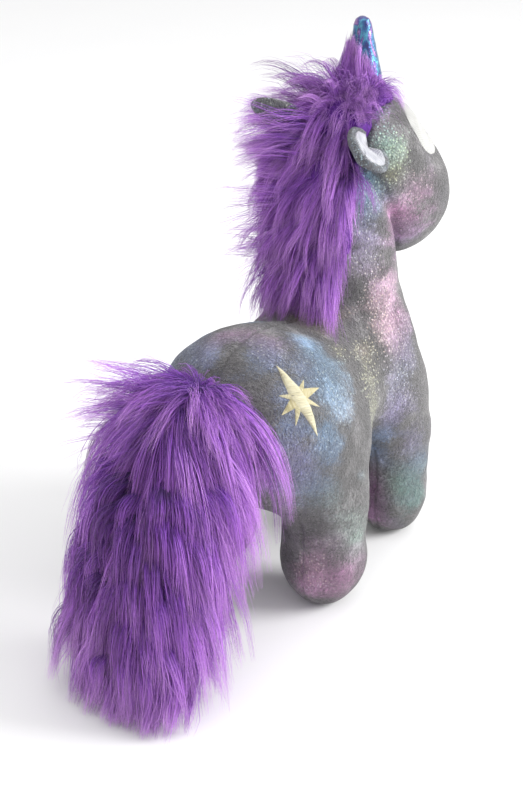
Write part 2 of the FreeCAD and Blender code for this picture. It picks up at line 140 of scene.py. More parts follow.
def body_form(p):
    """Torso, legs and neck as one stuffed skin, without seams."""
    m = mirrored(p)
    d = ball_field(p, *FORMS["torso"])
    d = soft_min(d, ball_field(p, *FORMS["rump"]), 16)
    d = soft_min(d, ball_field(p, *FORMS["chest"]), 16)
    d = soft_min(d, ball_field(m, *FORMS["haunch"]), 12)
    d = soft_min(d, ball_field(m, *FORMS["shoulder"]), 12)
    hind = soft_min(limb_field(m, *HIND_LEG), ball_field(m, *FORMS["hind_foot"]), 5)
    fore = soft_min(limb_field(m, *FORE_LEG), ball_field(m, *FORMS["fore_foot"]), 5)
    d = soft_min(d, hind, 9)
    d = soft_min(d, fore, 9)
    d = soft_min(d, neck_field(p), 20)
    return -soft_min(-d, p[..., 2], 5)


def head_form(p):
    return soft_min(ball_field(p, *FORMS["skull"]), ball_field(p, *FORMS["muzzle"]), 14)


def body_seams(p, m):
    """The sewn lines of the body: back, belly gusset and the side seams of the legs."""
    x, y, z = p[..., 0], p[..., 1], p[..., 2]
    high = np.clip((z - 96) / 12, 0, 1)
    pull = groove(x, 1.5, 1.5) * high * np.clip((NECK_TOP[2] - z) / 20, 0, 1)
    low = 1 - np.clip((z - 84) / 10, 0, 1)
    edge = np.abs(m[..., 0]) - GUSSET_HALF
    pull += groove(edge, 1.5, 1.5) * low * np.clip((z - 70) / 6, 0, 1)
    for (leg_x, leg_y, _), reach in ((HIND_LEG[0], 34), (FORE_LEG[0], 31)):
        near = np.clip((reach - np.hypot(m[..., 0] - leg_x, y - leg_y)) / 4, 0, 1)
        side = np.clip((86 - z) / 10, 0, 1)
        pull += groove(m[..., 0] - leg_x, 1.4, 1.5) * near * side
    return pull


def body_field(p):
    m = mirrored(p)
    d = body_form(p) + body_seams(p, m)
    d += 2.0 * np.exp(-np.square(head_form(p) / 3.5))        # the neck is pulled in where the head is sewn on
    d += 0.45 * waves(p, 34, 3) + 0.22 * waves(p, 13, 4)
    star = np.linalg.norm(p - STAR_CENTRE, axis=-1)
    return d + 0.5 * np.exp(-np.square(star / 22))


def head_field(p):
    """The head, drawn in at its seams, where it joins the neck, and under the eyes."""
    x, z = p[..., 0], p[..., 2]
    gusset = groove(np.abs(x) - BROW_HALF, 1.4, 1.4) * np.clip((z - 226) / 10, 0, 1)
    chin = groove(x, 1.4, 1.4) * np.clip((222 - z) / 8, 0, 1)
    d = head_form(p) + gusset + chin
    d += 1.8 * np.exp(-np.square(neck_field(p) / 3.5))
    socket = np.linalg.norm(mirrored(p) - EYE, axis=-1)
    d += 1.2 * np.exp(-np.square(socket / 17))
    return d + 0.35 * waves(p, 30, 5) + 0.2 * waves(p, 12, 6)


# ---- a mesh from a field

def gradient(field, p, step=0.35):
    g = np.empty_like(p)
    for axis in range(3):
        offset = np.zeros(3)
        offset[axis] = step
        g[..., axis] = field(p + offset) - field(p - offset)
    return g / (2 * step)


def in_chunks(function, p, size=400_000):
    return np.concatenate([function(p[i:i + size]) for i in range(0, len(p), size)])


def settle(field, p, rounds=3):
    """Moves points onto the field's surface, and returns them with their outward normals."""
    for _ in range(rounds):
        g = gradient(field, p)
        p = p - (field(p) / np.maximum((g * g).sum(-1), 0.05))[:, None] * g
    g = gradient(field, p)
    return p, g / np.linalg.norm(g, axis=-1, keepdims=True)


def net(field, low, high, step):
    """A closed quad mesh of the field's zero surface: one point in each cell that it crosses."""
    axes = [np.arange(a, b + step, step) for a, b in zip(low, high)]
    grid = np.stack(np.meshgrid(*axes, indexing="ij"), -1)
    shape = grid.shape[:3]
    values = in_chunks(field, grid.reshape(-1, 3)).reshape(shape)
    inside = values < 0
    corner = [slice(0, -1), slice(1, None)]
    total = np.zeros(tuple(n - 1 for n in shape) + (3,))
    count = np.zeros(tuple(n - 1 for n in shape))
    for axis in range(3):
        others = [a for a in range(3) if a != axis]
        for i in (0, 1):
            for j in (0, 1):
                near, far = [None] * 3, [None] * 3
                near[axis], far[axis] = corner[0], corner[1]
                near[others[0]] = far[others[0]] = corner[i]
                near[others[1]] = far[others[1]] = corner[j]
                near, far = tuple(near), tuple(far)
                crossed = inside[near] != inside[far]
                span = np.where(crossed, values[near] - values[far], 1.0)
                t = np.where(crossed, values[near] / span, 0.0)[..., None]
                spot = grid[near] * (1 - t) + grid[far] * t
                total += spot * crossed[..., None]
                count += crossed
    used = count > 0
    number = -np.ones(used.shape, int)
    number[used] = np.arange(used.sum())
    points = total[used] / count[used][:, None]
    quads = []
    for axis in range(3):
        u, v = [(1, 2), (2, 0), (0, 1)][axis]
        near = [slice(None)] * 3
        far = [slice(None)] * 3
        near[axis], far[axis] = slice(0, -1), slice(1, None)
        for a in (u, v):
            near[a] = far[a] = slice(1, -1)
        starts, ends = inside[tuple(near)], inside[tuple(far)]
        cells = []
        for du, dv in ((1, 1), (0, 1), (0, 0), (1, 0)):
            pick = [slice(None)] * 3
            pick[u] = slice(1, None) if du else slice(0, -1)
            pick[v] = slice(1, None) if dv else slice(0, -1)
            cells.append(number[tuple(pick)])
        out = starts & ~ends
        back = ~starts & ends
        quads.append(np.stack([c[out] for c in cells], -1))
        quads.append(np.stack([c[back] for c in cells[::-1]], -1))
    return points, np.concatenate(quads)


# ---- materials

class Wires:
    """A material's node tree, with short ways to add nodes and join them."""

    def __init__(self, name):
        self.material = bpy.data.materials.new(name)
        self.material.use_nodes = True
        self.tree = self.material.node_tree
        self.tree.nodes.clear()
        self.shader = self.add("ShaderNodeBsdfPrincipled")
        output = self.add("ShaderNodeOutputMaterial")
        self.tree.links.new(self.shader.outputs[0], output.inputs[0])

    def add(self, kind, inputs=None, **settings):
        node = self.tree.nodes.new(kind)
        for key, value in settings.items():
            setattr(node, key, value)
        for key, value in (inputs or {}).items():
            self.join(node.inputs[key], value)
        return node

    def join(self, socket, value):
        if isinstance(value, bpy.types.NodeSocket):
            self.tree.links.new(value, socket)
        else:
            socket.default_value = value

    def attribute(self, name, output="Vector"):
        return self.add("ShaderNodeAttribute", attribute_name=name).outputs[output]

    def math(self, operation, a, b=0.0):
        return self.add("ShaderNodeMath", {0: a, 1: b}, operation=operation).outputs[0]

    def times(self, a, b):
        return self.math("MULTIPLY", a, b)

    def plus(self, a, b):
        return self.math("ADD", a, b)

    def range(self, value, low, high, to_low=0.0, to_high=1.0):
        node = self.add("ShaderNodeMapRange", interpolation_type="SMOOTHSTEP")
        for key, item in (("Value", value), ("From Min", low), ("From Max", high),
                          ("To Min", to_low), ("To Max", to_high)):
            self.join(node.inputs[key], item)
        return node.outputs[0]

    def noise(self, place, scale, detail=3.0, roughness=0.55, distortion=0.0):
        node = self.add("ShaderNodeTexNoise", {"Vector": place, "Scale": scale, "Detail": detail,
                                               "Roughness": roughness, "Distortion": distortion})
        return node.outputs["Fac"]

    def mix(self, share, a, b):
        node = self.add("ShaderNodeMix", data_type="RGBA")
        for key, value in ((0, share), (6, a), (7, b)):
            self.join(node.inputs[key], (*value, 1.0) if isinstance(value, tuple) else value)
        return node.outputs[2]

    def scaled(self, colour, amount):
        """A colour times a number."""
        node = self.add("ShaderNodeVectorMath", operation="SCALE")
        self.join(node.inputs[0], colour)
        self.join(node.inputs["Scale"], amount)
        return node.outputs[0]

    def stretched(self, place, scale):
        return self.add("ShaderNodeMapping", {"Vector": place, "Scale": scale}).outputs[0]

    def ramp(self, value, stops):
        node = self.add("ShaderNodeValToRGB", {0: value})
        band = node.color_ramp
        while len(band.elements) < len(stops):
            band.elements.new(0.5)
        for element, (position, colour) in zip(band.elements, stops):
            element.position = position
            element.color = (*colour, 1.0)
        return node.outputs[0]

    def bump(self, height, distance, strength=1.0):
        """Relief of so many metres, joined to the shader's normal."""
        node = self.add("ShaderNodeBump", {"Height": height, "Distance": distance, "Strength": strength})
        self.join(self.shader.inputs["Normal"], node.outputs[0])

    def finish(self, **inputs):
        """Sets the shader's inputs to numbers or joins them to sockets, and returns the material."""
        for key, value in inputs.items():
            self.join(self.shader.inputs[key.replace("_", " ").title().replace("Ior", "IOR")], value)
        return self.material


def velour_material():
    """Short grey pile whose fine wrinkles carry painted shade in their creases, and patches where a crackled
    iridescent foil lies on it, with glitter flecks painted bright as sparkle.
    """
    w = Wires("velour")
    place = w.attribute("rest")
    foil = w.add("ShaderNodeAttribute", attribute_name="foil")
    glitter = w.attribute("glitter", "Fac")
    pile = w.noise(w.stretched(place, (1.0, 1.0, 0.6)), 1.15, 3.0, 0.65)
    wrinkle = 0.0
    # fine wrinkles: bump, and painted shade that darkens their creases, stronger in some patches than in
    # others
    for scale, width, crease_patch_scale in ((0.36, 0.15, 0.024), (0.70, 0.22, 0.040)):
        veins = w.noise(w.stretched(place, (1.0, 1.0, 0.7)), scale, 3.0, 0.6, 1.2)
        vein = w.range(w.math("ABSOLUTE", w.math("SUBTRACT", veins, 0.5)), 0.0, width, 1.0, 0.0)
        crease_strength = w.range(w.noise(place, crease_patch_scale, 2.0), 0.36, 0.60, 0.30, 1.0)
        wrinkle = w.math("MAXIMUM", w.times(vein, crease_strength), wrinkle)
    tone = w.range(w.noise(place, 0.022, 2.0, 0.5), 0.3, 0.7, 0.78, 1.18)
    pebble = w.noise(w.stretched(place, (1.0, 1.0, 0.8)), 0.42, 2.0, 0.55, 0.7)
    grain = w.times(w.range(pile, 0.25, 0.75, 0.80, 1.20), w.range(pebble, 0.32, 0.68, 0.80, 1.22))
    # painted shade: the pile and the foil are darkened along the wrinkles
    dark = w.math("SUBTRACT", 1.0, w.times(wrinkle, 0.58))
    grey = w.scaled(GREY, w.times(w.times(tone, grain), dark))
    crackle = w.noise(place, 0.75, 4.0, 0.75, 0.6)
    cover = w.plus(w.times(foil.outputs["Alpha"], 1.5), w.times(w.math("SUBTRACT", crackle, 0.5), 2.6))
    cover = w.range(cover, 0.15, 1.5, 0.0, 0.80)
    cover = w.times(cover, w.range(foil.outputs["Alpha"], 0.02, 0.2))
    tint = w.mix(0.22, foil.outputs["Color"], (0.28, 0.28, 0.29))
    tint = w.scaled(tint, w.times(w.times(grain, dark), 1.65))
    colour = w.mix(cover, grey, tint)
    # glitter flecks: real foil flakes, painted brighter than the foil as sparkle highlights
    cells = w.add("ShaderNodeTexVoronoi", {"Vector": place, "Scale": 0.72, "Randomness": 1.0})
    chance = w.add("ShaderNodeSeparateColor", {0: cells.outputs["Color"]})
    fleck = w.range(w.plus(chance.outputs[0], w.times(glitter, 0.60)), 0.90, 0.98)
    fleck = w.times(fleck, w.range(cells.outputs["Distance"], 0.28, 0.50, 1.0, 0.0))
    fleck = w.times(fleck, w.range(glitter, 0.02, 0.25))
    warm = w.mix(chance.outputs[1], (0.80, 0.78, 0.50), (0.62, 0.72, 0.78))
    fleck_painted_sparkle = w.mix(0.5, w.scaled(foil.outputs["Color"], 1.5), warm)
    colour = w.mix(w.times(fleck, 0.9), colour, fleck_painted_sparkle)
    rough = w.range(w.math("MAXIMUM", cover, fleck), 0.0, 1.0, 0.85, 0.5)
    height = w.plus(w.times(pile, 0.3), w.times(wrinkle, -0.5))
    w.bump(w.plus(height, pebble), 0.0028, 1.0)
    return w.finish(base_color=colour, roughness=rough, sheen_weight=0.35, sheen_roughness=0.45,
                    specular_ior_level=0.25)


def fur_material():
    """Long fibres, darkened towards the root as painted shade, lilac at the tip, the lightest of them mixed
    towards a painted lilac highlight. The map's U is a fibre's tone, V runs to its tip.
    """
    w = Wires("long_fur")
    spot = w.add("ShaderNodeSeparateXYZ", {0: w.add("ShaderNodeUVMap", uv_map=STRAND_MAP).outputs[0]})
    tone, along = spot.outputs[0], spot.outputs[1]
    # painted shade: the ramp darkens each fibre towards its root
    colour = w.ramp(along, FUR_STOPS)
    colour = w.scaled(colour, w.range(tone, 0.0, 1.0, 0.50, 1.55))
    # painted highlight: the lightest fibres are mixed towards lilac, most towards their tips
    light = w.times(w.range(tone, 0.62, 1.0), w.range(along, 0.15, 0.7, 0.25, 1.0))
    colour = w.mix(w.times(light, 0.55), colour, FUR_PAINTED_HIGHLIGHT)
    return w.finish(base_color=colour, roughness=w.range(tone, 0.0, 1.0, 0.55, 0.42), sheen_weight=0.15,
                    sheen_roughness=0.5, specular_ior_level=0.4)


def shaded_underfur_material():
    w = Wires("underfur")
    place = w.attribute("rest")
    strand = w.noise(w.stretched(place, (1.0, 1.0, 0.08)), 0.9, 3.0, 0.6)
    w.bump(strand, 0.0012)
    return w.finish(base_color=w.ramp(strand, UNDERFUR_SHADE_STOPS), roughness=0.8, specular_ior_level=0.2)


def thread_material(name, dark, light, roughness=0.42):
    """Satin-stitched thread. The map's U is each thread's tone, V runs along it, with a fine twist."""
    w = Wires(name)
    spot = w.add("ShaderNodeSeparateXYZ", {0: w.add("ShaderNodeUVMap", uv_map=STRAND_MAP).outputs[0]})
    twist = w.math("SINE", w.plus(w.times(spot.outputs[1], 70.0), w.times(spot.outputs[0], 40.0)))
    colour = w.mix(spot.outputs[0], dark, light)
    return w.finish(base_color=w.scaled(colour, w.range(twist, -1.0, 1.0, 0.9, 1.08)),
                    roughness=w.range(twist, -1.0, 1.0, roughness + 0.06, roughness - 0.04),
                    sheen_weight=0.2, specular_ior_level=0.5)


def satin_material(name, low, high, direction, pitch, roughness=0.36, gloss=0.5):
    """Flat satin: parallel threads of a small pitch in millimetres, with slow changes of tone; where low and
    high lie far apart, as on the lining, these are painted sheen.
    """
    w = Wires(name)
    place = w.attribute("rest")
    along = w.add("ShaderNodeVectorMath", {0: place, 1: direction}, operation="DOT_PRODUCT").outputs["Value"]
    wobble = w.noise(place, 0.35, 2.0)
    lines = w.math("SINE", w.plus(w.times(along, 2 * math.pi / pitch), w.times(wobble, 5.0)))
    tone = w.plus(w.times(lines, 0.16), w.noise(place, 0.12, 3.0))
    w.bump(lines, 0.00012)
    return w.finish(base_color=w.mix(w.range(tone, 0.25, 0.8), low, high),
                    roughness=w.range(wobble, 0.3, 0.7, roughness, roughness + 0.14),
                    sheen_weight=gloss / 2, specular_ior_level=gloss)


def horn_material():
    """Wrinkled iridescent foil on cloth: bands of blue, teal, violet and pink that wander round the cone."""
    w = Wires("horn_foil")
    place = w.attribute("rest")
    drift = w.noise(w.stretched(place, (1.0, 1.0, 0.5)), 0.09, 2.0, 0.5, 1.2)
    colour = w.ramp(drift, HORN_STOPS)
    flake = w.noise(place, 0.8, 4.0, 0.7)
    colour = w.scaled(colour, w.range(flake, 0.3, 0.7, 0.80, 1.35))
    metal, rough = w.range(flake, 0.3, 0.7, 0.35, 0.75), w.range(flake, 0.25, 0.75, 0.40, 0.20)
    creases = w.noise(w.stretched(place, (1.0, 1.0, 2.2)), 0.16, 4.0, 0.6, 0.8)
    w.bump(w.plus(creases, w.times(flake, 0.12)), 0.0016, 0.7)
    return w.finish(base_color=colour, metallic=metal, roughness=rough, coat_weight=0.35, coat_roughness=0.18,
                    specular_ior_level=0.6)


def pupil_material():
    """A violet ring round a dark middle, by the distance kept in the piece's own attribute."""
    w = Wires("pupil_thread")
    place = w.attribute("rest")
    reach = w.attribute("reach", "Fac")
    ray = w.noise(w.stretched(place, (1.0, 0.3, 0.3)), 1.4, 2.0)
    ring = w.ramp(w.plus(reach, w.times(ray, 0.08)), PUPIL_STOPS)
    w.bump(ray, 0.00015)
    return w.finish(base_color=ring, roughness=0.3, coat_weight=0.3, coat_roughness=0.15)


GREY = (0.256, 0.247, 0.252)
STRAND_MAP = "OFBake"          # the name the export looks for, so that the fibres keep their own map
# the fur's ramp from root to tip; its dark root end is painted shade
FUR_STOPS = ((0.0, (0.075, 0.014, 0.190)), (0.25, (0.205, 0.048, 0.430)), (0.7, (0.400, 0.135, 0.610)),
             (1.0, (0.600, 0.310, 0.740)))
# painted lilac highlight for the lightest fibres
FUR_PAINTED_HIGHLIGHT = (0.78, 0.46, 0.84)
# the underfur's dark violet is painted shade for the depth between the long fibres
UNDERFUR_SHADE_STOPS = ((0.3, (0.05, 0.010, 0.12)), (0.7, (0.15, 0.04, 0.32)))
HORN_STOPS = ((0.30, (0.020, 0.025, 0.130)), (0.42, (0.025, 0.100, 0.240)), (0.48, (0.060, 0.240, 0.360)),
              (0.53, (0.060, 0.045, 0.220)), (0.60, (0.300, 0.160, 0.380)), (0.66, (0.045, 0.035, 0.170)),
              (0.78, (0.260, 0.190, 0.380)))
PUPIL_STOPS = ((0.0, (0.012, 0.010, 0.016)), (0.52, (0.016, 0.012, 0.024)), (0.60, (0.10, 0.05, 0.24)),
               (0.82, (0.24, 0.14, 0.50)), (0.93, (0.05, 0.03, 0.10)), (1.0, (0.03, 0.02, 0.05)))


# ---- foil patches: place and radius in millimetres, then red, green, blue, cover and glitter in hundredths

FOIL = (
    (-49, 17, 154, 14, 17, 36, 58, 95, 30),   (-27, 2, 168, 12, 16, 34, 56, 95, 25),
    (-38, 8, 163, 13, 20, 40, 62, 90, 25),    (-55, 14, 142, 13, 30, 42, 60, 75, 45),
    (-56, 34, 134, 10, 15, 32, 56, 85, 15),   (-44, 57, 143, 10, 17, 27, 48, 70, 10),
    (-35, 50, 160, 8, 20, 26, 46, 50, 10),    (-15, -28, 167, 15, 30, 22, 12, 60, 10),
    (-2, -22, 169, 12, 30, 20, 16, 50, 5),    (-34, -18, 159, 6, 58, 56, 36, 55, 75),
    (-41, -42, 151, 8, 56, 52, 34, 45, 95),   (-50, -32, 138, 9, 52, 50, 32, 50, 90),
    (-55, -27, 121, 10, 50, 50, 30, 55, 70),  (-57, -26, 105, 9, 46, 46, 26, 50, 35),
    (-42, -61, 158, 12, 62, 40, 44, 55, 95),  (-48, -66, 147, 10, 60, 36, 50, 55, 70),
    (-43, -76, 161, 13, 58, 28, 50, 80, 30),  (-35, -64, 176, 11, 60, 40, 44, 45, 85),
    (-37, -77, 183, 13, 56, 30, 48, 70, 50),  (-50, -74, 142, 12, 36, 32, 60, 60, 30),
    (-52, -66, 128, 13, 34, 36, 52, 55, 55),  (-54, -64, 111, 13, 36, 30, 54, 60, 15),
    (-36, -60, 70, 9, 16, 30, 60, 85, 5),     (-45, -58, 84, 9, 18, 32, 60, 85, 5),
    (-52, -60, 100, 10, 34, 28, 58, 70, 5),   (-37, 69, 125, 16, 17, 13, 30, 70, 5),
    (-51, 53, 115, 16, 15, 16, 42, 75, 10),   (-40, 66, 106, 13, 20, 14, 42, 65, 5),
    (-56, 42, 97, 13, 14, 28, 46, 65, 10),    (-58, 36, 122, 9, 15, 32, 50, 70, 10),
    (-60, 33, 86, 12, 22, 32, 28, 45, 5),     (-66, 12, 52, 15, 20, 34, 27, 60, 10),
    (-64, 18, 70, 12, 26, 34, 30, 40, 10),    (-50, 32, 52, 12, 24, 15, 22, 50, 5),
    (-60, 24, 26, 19, 50, 18, 42, 95, 5),     (-44, 34, 20, 13, 40, 18, 34, 70, 20),
    (-48, 34, 36, 9, 36, 26, 24, 55, 60),     (40, 33, 164, 18, 16, 24, 46, 75, 20),
    (18, 49, 171, 13, 16, 26, 48, 75, 15),    (16, 34, 177, 12, 42, 18, 40, 70, 25),
    (5, 28, 178, 11, 38, 20, 36, 55, 15),     (-52, -72, 46, 13, 15, 36, 26, 85, 5),
    (-58, -80, 34, 13, 14, 38, 34, 85, 5),    (-57, -84, 58, 13, 16, 30, 48, 75, 5),
    (-56, -78, 74, 12, 30, 24, 46, 65, 5),    (-33, -66, 40, 15, 30, 6, 28, 100, 0),
    (-34, -68, 22, 13, 28, 7, 27, 95, 0),     (-29, -98, 219, 16, 66, 26, 56, 100, 20),
    (-30, -106, 203, 12, 36, 26, 52, 70, 5),  (-34, -106, 240, 12, 52, 30, 44, 45, 40),
    (-27, -83, 272, 9, 30, 56, 50, 55, 100),  (-31, -86, 262, 9, 42, 60, 36, 55, 100),
    (-30, -83, 250, 8, 60, 58, 26, 55, 85),   (-20, -70, 246, 13, 12, 40, 60, 100, 45),
    (-26, -72, 234, 12, 20, 34, 50, 70, 35),  (-24, -62, 216, 13, 30, 24, 46, 60, 15),
    (-28, -62, 200, 12, 34, 28, 42, 45, 35),  (-12, -92, 287, 9, 22, 38, 52, 55, 60),
    (-42, -118, 256, 10, 40, 36, 50, 25, 10), (-44, -128, 226, 11, 22, 20, 26, 45, 0),
    (0, -160, 236, 14, 48, 30, 50, 45, 25),   (0, -136, 284, 12, 24, 40, 56, 55, 35),
    (0, -118, 128, 18, 50, 26, 46, 65, 20),   (-22, -116, 104, 15, 20, 34, 50, 60, 10),
    (12, -112, 160, 15, 32, 30, 54, 60, 40),  (0, 70, 104, 15, 24, 16, 42, 60, 5),
)
UNSEEN_SHIFT = np.array((0.0, -7.0, 5.0))      # the left side's patches are the right side's, moved a little


def foil_of(points):
    """The foil's colour and cover, and how much it glitters, at each point."""
    wander = 1.0 + 0.30 * waves(points, 26, 8) + 0.16 * waves(points, 9, 9)
    colour, total = np.zeros((len(points), 3)), np.full(len(points), 1e-6)
    bare, plain = np.ones(len(points)), np.ones(len(points))
    for side in (1, -1):
        for x, y, z, radius, *shares in FOIL:
            *tint, cover, glitter = (share / 100 for share in shares)
            spot = np.array((x, y, z), float)
            if side < 0:
                if abs(spot[0]) < 10:
                    continue
                spot = spot * (-1, 1, 1) + UNSEEN_SHIFT
            distance = np.linalg.norm(points - spot, axis=-1) * wander / radius
            share = np.exp(-0.9 * distance ** 2)
            colour += (share * cover)[:, None] * np.array(tint)
            total += share * cover
            bare *= 1 - cover * share
            plain *= 1 - glitter * share
    return colour / total[:, None], 1 - bare, 1 - plain


# ---- meshes

def new_mesh(name, points, faces):
    """A smooth mesh object from points of the forms' frame, with each point kept as its resting place."""
    mesh = bpy.data.meshes.new(name)
    mesh.vertices.add(len(points))
    mesh.vertices.foreach_set("co", to_row(points).astype(np.float32).ravel())
    mesh.loops.add(faces.size)
    mesh.loops.foreach_set("vertex_index", faces.astype(np.int32).ravel())
    mesh.polygons.add(len(faces))
    mesh.polygons.foreach_set("loop_start", np.arange(0, faces.size, faces.shape[1], dtype=np.int32))
    mesh.polygons.foreach_set("use_smooth", np.ones(len(faces), bool))
    mesh.update(calc_edges=True)
    piece = bpy.data.objects.new(name, mesh)
    bpy.context.scene.collection.objects.link(piece)
    return piece


def store(piece, name, kind, values):
    field = {"FLOAT": "value", "FLOAT_VECTOR": "vector", "FLOAT_COLOR": "color"}[kind]
    layer = piece.data.attributes.new(name, kind, "POINT")
    layer.data.foreach_set(field, np.asarray(values, np.float32).ravel())


def outward(points, faces, normals):
    """The faces turned so that each looks the way of its points' normals."""
    a, b, c = (points[faces[:, i]] for i in (0, 1, 2))
    wrong = (np.cross(b - a, c - a) * normals[faces[:, 0]]).sum(-1) < 0
    faces = faces.copy()
    faces[wrong] = faces[wrong][:, ::-1]
    return faces


def part_of(name, points, faces, normals, chosen):
    """One piece of a larger skin: the chosen faces, with the whole skin's normals, so that no edge shades."""
    used, new = np.unique(faces[chosen], return_inverse=True)
    piece = new_mesh(name, points[used], new.reshape(-1, faces.shape[1]))
    piece.data.normals_split_custom_set_from_vertices(normals[used].astype(np.float32).tolist())
    store(piece, "rest", "FLOAT_VECTOR", points[used])
    return piece, points[used]


def dress(piece, material, nodes):
    """Material, and the CAD nodes that a piece stands for, which are hidden."""
    piece.data.materials.append(material)
    if nodes:
        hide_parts(*nodes)
    return piece


def lay_foil(piece, colour, cover, glitter):
    """The numbers that the velour reads for its foil, at each point."""
    store(piece, "foil", "FLOAT_COLOR", np.concatenate([colour, cover[:, None]], -1))
    store(piece, "glitter", "FLOAT", glitter)


def skin_piece(name, skin, chosen, nodes):
    piece, spots = part_of(name, *skin, chosen)
    lay_foil(piece, *foil_of(spots))
    return dress(piece, VELOUR, nodes)


def skin_of(field, low, high, step):
    points, faces = net(field, low, high, step)
    points, normals = settle(field, points)
    return points, outward(points, faces, normals), normals


def make_body():
    skin = skin_of(body_field, (-78, -130, -4), (78, 90, 275), SKIN_STEP)
    middle = skin[0][skin[1]].mean(1)
    x, y, z = middle.T
    buried = in_chunks(head_field, middle) < BURIED
    above = neck_plane(middle) > 0
    leg = (z < LEG_BEND[0]) & (np.abs(x) > 12)
    gusset = ~above & ~leg & (np.abs(x) < GUSSET_HALF) & (z < GUSSET_TOP)
    for label, side in (("left", 1), ("right", -1)):
        near = side * x > 0
        neck = skin_piece(f"{label}_neck_skin", skin, above & near & ~buried,
                          (f"{label}_neck_panel", "neck_filling"))
        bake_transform(neck)
        flank = skin_piece(f"{label}_flank_skin", skin, near & ~above & ~leg & ~gusset,
                           (f"{label}_flank_panel", "torso_filling"))
        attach(flank, "torso")
        for kind, limb, behind in (("hind", HIND_LEG, y > LEG_PARTING), ("front", FORE_LEG, y < LEG_PARTING)):
            leg_x = limb[0][0]
            for face, out in (("outer", np.abs(x) > leg_x), ("inner", np.abs(x) <= leg_x)):
                nodes = (f"{label}_{kind}_{face}_panel", f"{label}_{kind}_filling")
                piece = skin_piece(f"{label}_{kind}_{face}_skin", skin, leg & near & behind & out, nodes)
                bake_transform(piece)
    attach(skin_piece("belly_gusset_skin", skin, gusset, ("belly_gusset",)), "torso")


def make_head():
    skin = skin_of(head_field, (-56, -175, 172), (56, -60, 300), SKIN_STEP)
    middle = skin[0][skin[1]].mean(1)
    x, _, z = middle.T
    shown = in_chunks(body_field, middle) >= BURIED
    brow = (np.abs(x) < BROW_HALF) & (z > BROW_FOOT)
    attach(skin_piece("forehead_skin", skin, brow & shown, ("forehead_gusset", "head_filling")), "head")
    for label, side in (("left", 1), ("right", -1)):
        cheek = ~brow & (side * x > 0) & shown
        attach(skin_piece(f"{label}_cheek_skin", skin, cheek, (f"{label}_cheek_panel",)), "head")


# ---- fibres and threads: thin tapered tubes

def unit(v):
    return v / np.maximum(np.linalg.norm(v, axis=-1, keepdims=True), 1e-9)


def bezier(controls, steps):
    """Points along cubic curves: controls is (n, 4, 3) and steps is (n, k)."""
    t = steps[..., None]
    a, b, c, d = (controls[:, None, i] for i in range(4))
    return (1 - t) ** 3 * a + 3 * (1 - t) ** 2 * t * b + 3 * (1 - t) * t ** 2 * c + t ** 3 * d


def tubes(name, paths, radius, tone, rng, taper=True):
    """One mesh of three-sided tubes along paths of (n, k, 3), each with its own tone on the strand map."""
    n, k, _ = paths.shape
    tangent = unit(np.gradient(paths, axis=1))
    side = unit(np.cross(tangent, unit(rng.normal(size=(n, 1, 3)))))
    other = np.cross(tangent, side)
    along = np.linspace(0, 1, k)
    profile = 0.12 + 0.88 * (1 - along ** 2.2) if taper else np.ones(k)
    width = np.asarray(radius)[:, None] * profile
    turns = [2 * math.pi * j / 3 for j in range(3)]
    rings = [paths + width[..., None] * (math.cos(a) * side + math.sin(a) * other) for a in turns]
    points = np.stack(rings, 2).reshape(-1, 3)
    first = (np.arange(n)[:, None, None] * k + np.arange(k - 1)[None, :, None]) * 3
    j = np.arange(3)[None, None, :]
    corners = [first + j, first + (j + 1) % 3, first + 3 + (j + 1) % 3, first + 3 + j]
    faces = np.stack(corners, -1).reshape(-1, 4)
    piece = new_mesh(name, points, faces)
    u = np.clip(tone, 0.02, 0.98)[:, None, None] + 0.012 * (np.arange(4) / 1.5 - 1)[None, None, :]
    v = along[None, :, None]
    left, right, low, high = (np.broadcast_to(part, (n, k - 1, 3))
                              for part in (u[..., :3], u[..., 1:], v[:, :-1], v[:, 1:]))
    corners = ((left, low), (right, low), (right, high), (left, high))
    spots = np.stack([np.stack(corner, -1) for corner in corners], -2)
    layer = piece.data.uv_layers.new(name=STRAND_MAP)
    layer.data.foreach_set("uv", spots.astype(np.float32).ravel())
    return piece


def threads(name, paths, radius, tones, rng, material, nodes, body):
    """A piece of sewn threads, all of one radius, that rides on a body."""
    piece = tubes(name, np.array(paths), np.full(len(paths), radius), tones, rng, taper=False)
    dress(piece, material, nodes)
    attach(piece, body)


FIBRE_POINTS = 8
WIDEST = 64.0                                  # fibres that reach further to a side are drawn in
TAIL_SPINE = np.array([((0, 80, 158), (0, 106, 172), (0, 122, 120), (0, 148, 34))], float)
UP = np.array((0.0, 0.0, 1.0))


def locks(guides, per_lock, rng, spread=4.5, clump=0.4, frizz=2.0, wild=0.2):
    """Fibres round each guide curve of (g, 4, 3), apart at the root and drawn together towards the tip.

    The clump is the share of their spread that is left at the tip, and the wild share stay apart.
    """
    n = len(guides) * per_lock
    controls = np.repeat(guides, per_lock, axis=0)
    reach = 1 - 0.25 * rng.random(n) ** 2
    steps = np.linspace(0, 1, FIBRE_POINTS)[None, :] * reach[:, None]
    paths = bezier(controls, steps)
    chord = unit(controls[:, 3] - controls[:, 0])
    side = unit(np.cross(chord, rng.normal(size=(n, 3))))
    offset = spread * np.sqrt(rng.random(n))
    stray = rng.random(n) < wild
    pull = np.where(stray, 1.2, clump)[:, None]
    fan = (1 - steps) + steps * pull
    paths += side[:, None] * (offset[:, None] * fan * np.minimum(steps * 4 + 0.35, 1.0))[..., None]
    for turns in (1.3, 3.1):
        swing = unit(np.cross(chord, rng.normal(size=(n, 3))))
        phase = rng.uniform(0, 2 * math.pi, (n, 1))
        size = frizz * rng.uniform(0.3, 1.0, (n, 1)) * np.where(stray, 2.0, 1.0)[:, None] / turns
        paths += swing[:, None] * (size * steps * np.sin(steps * turns * 2 * math.pi + phase))[..., None]
    return paths, stray


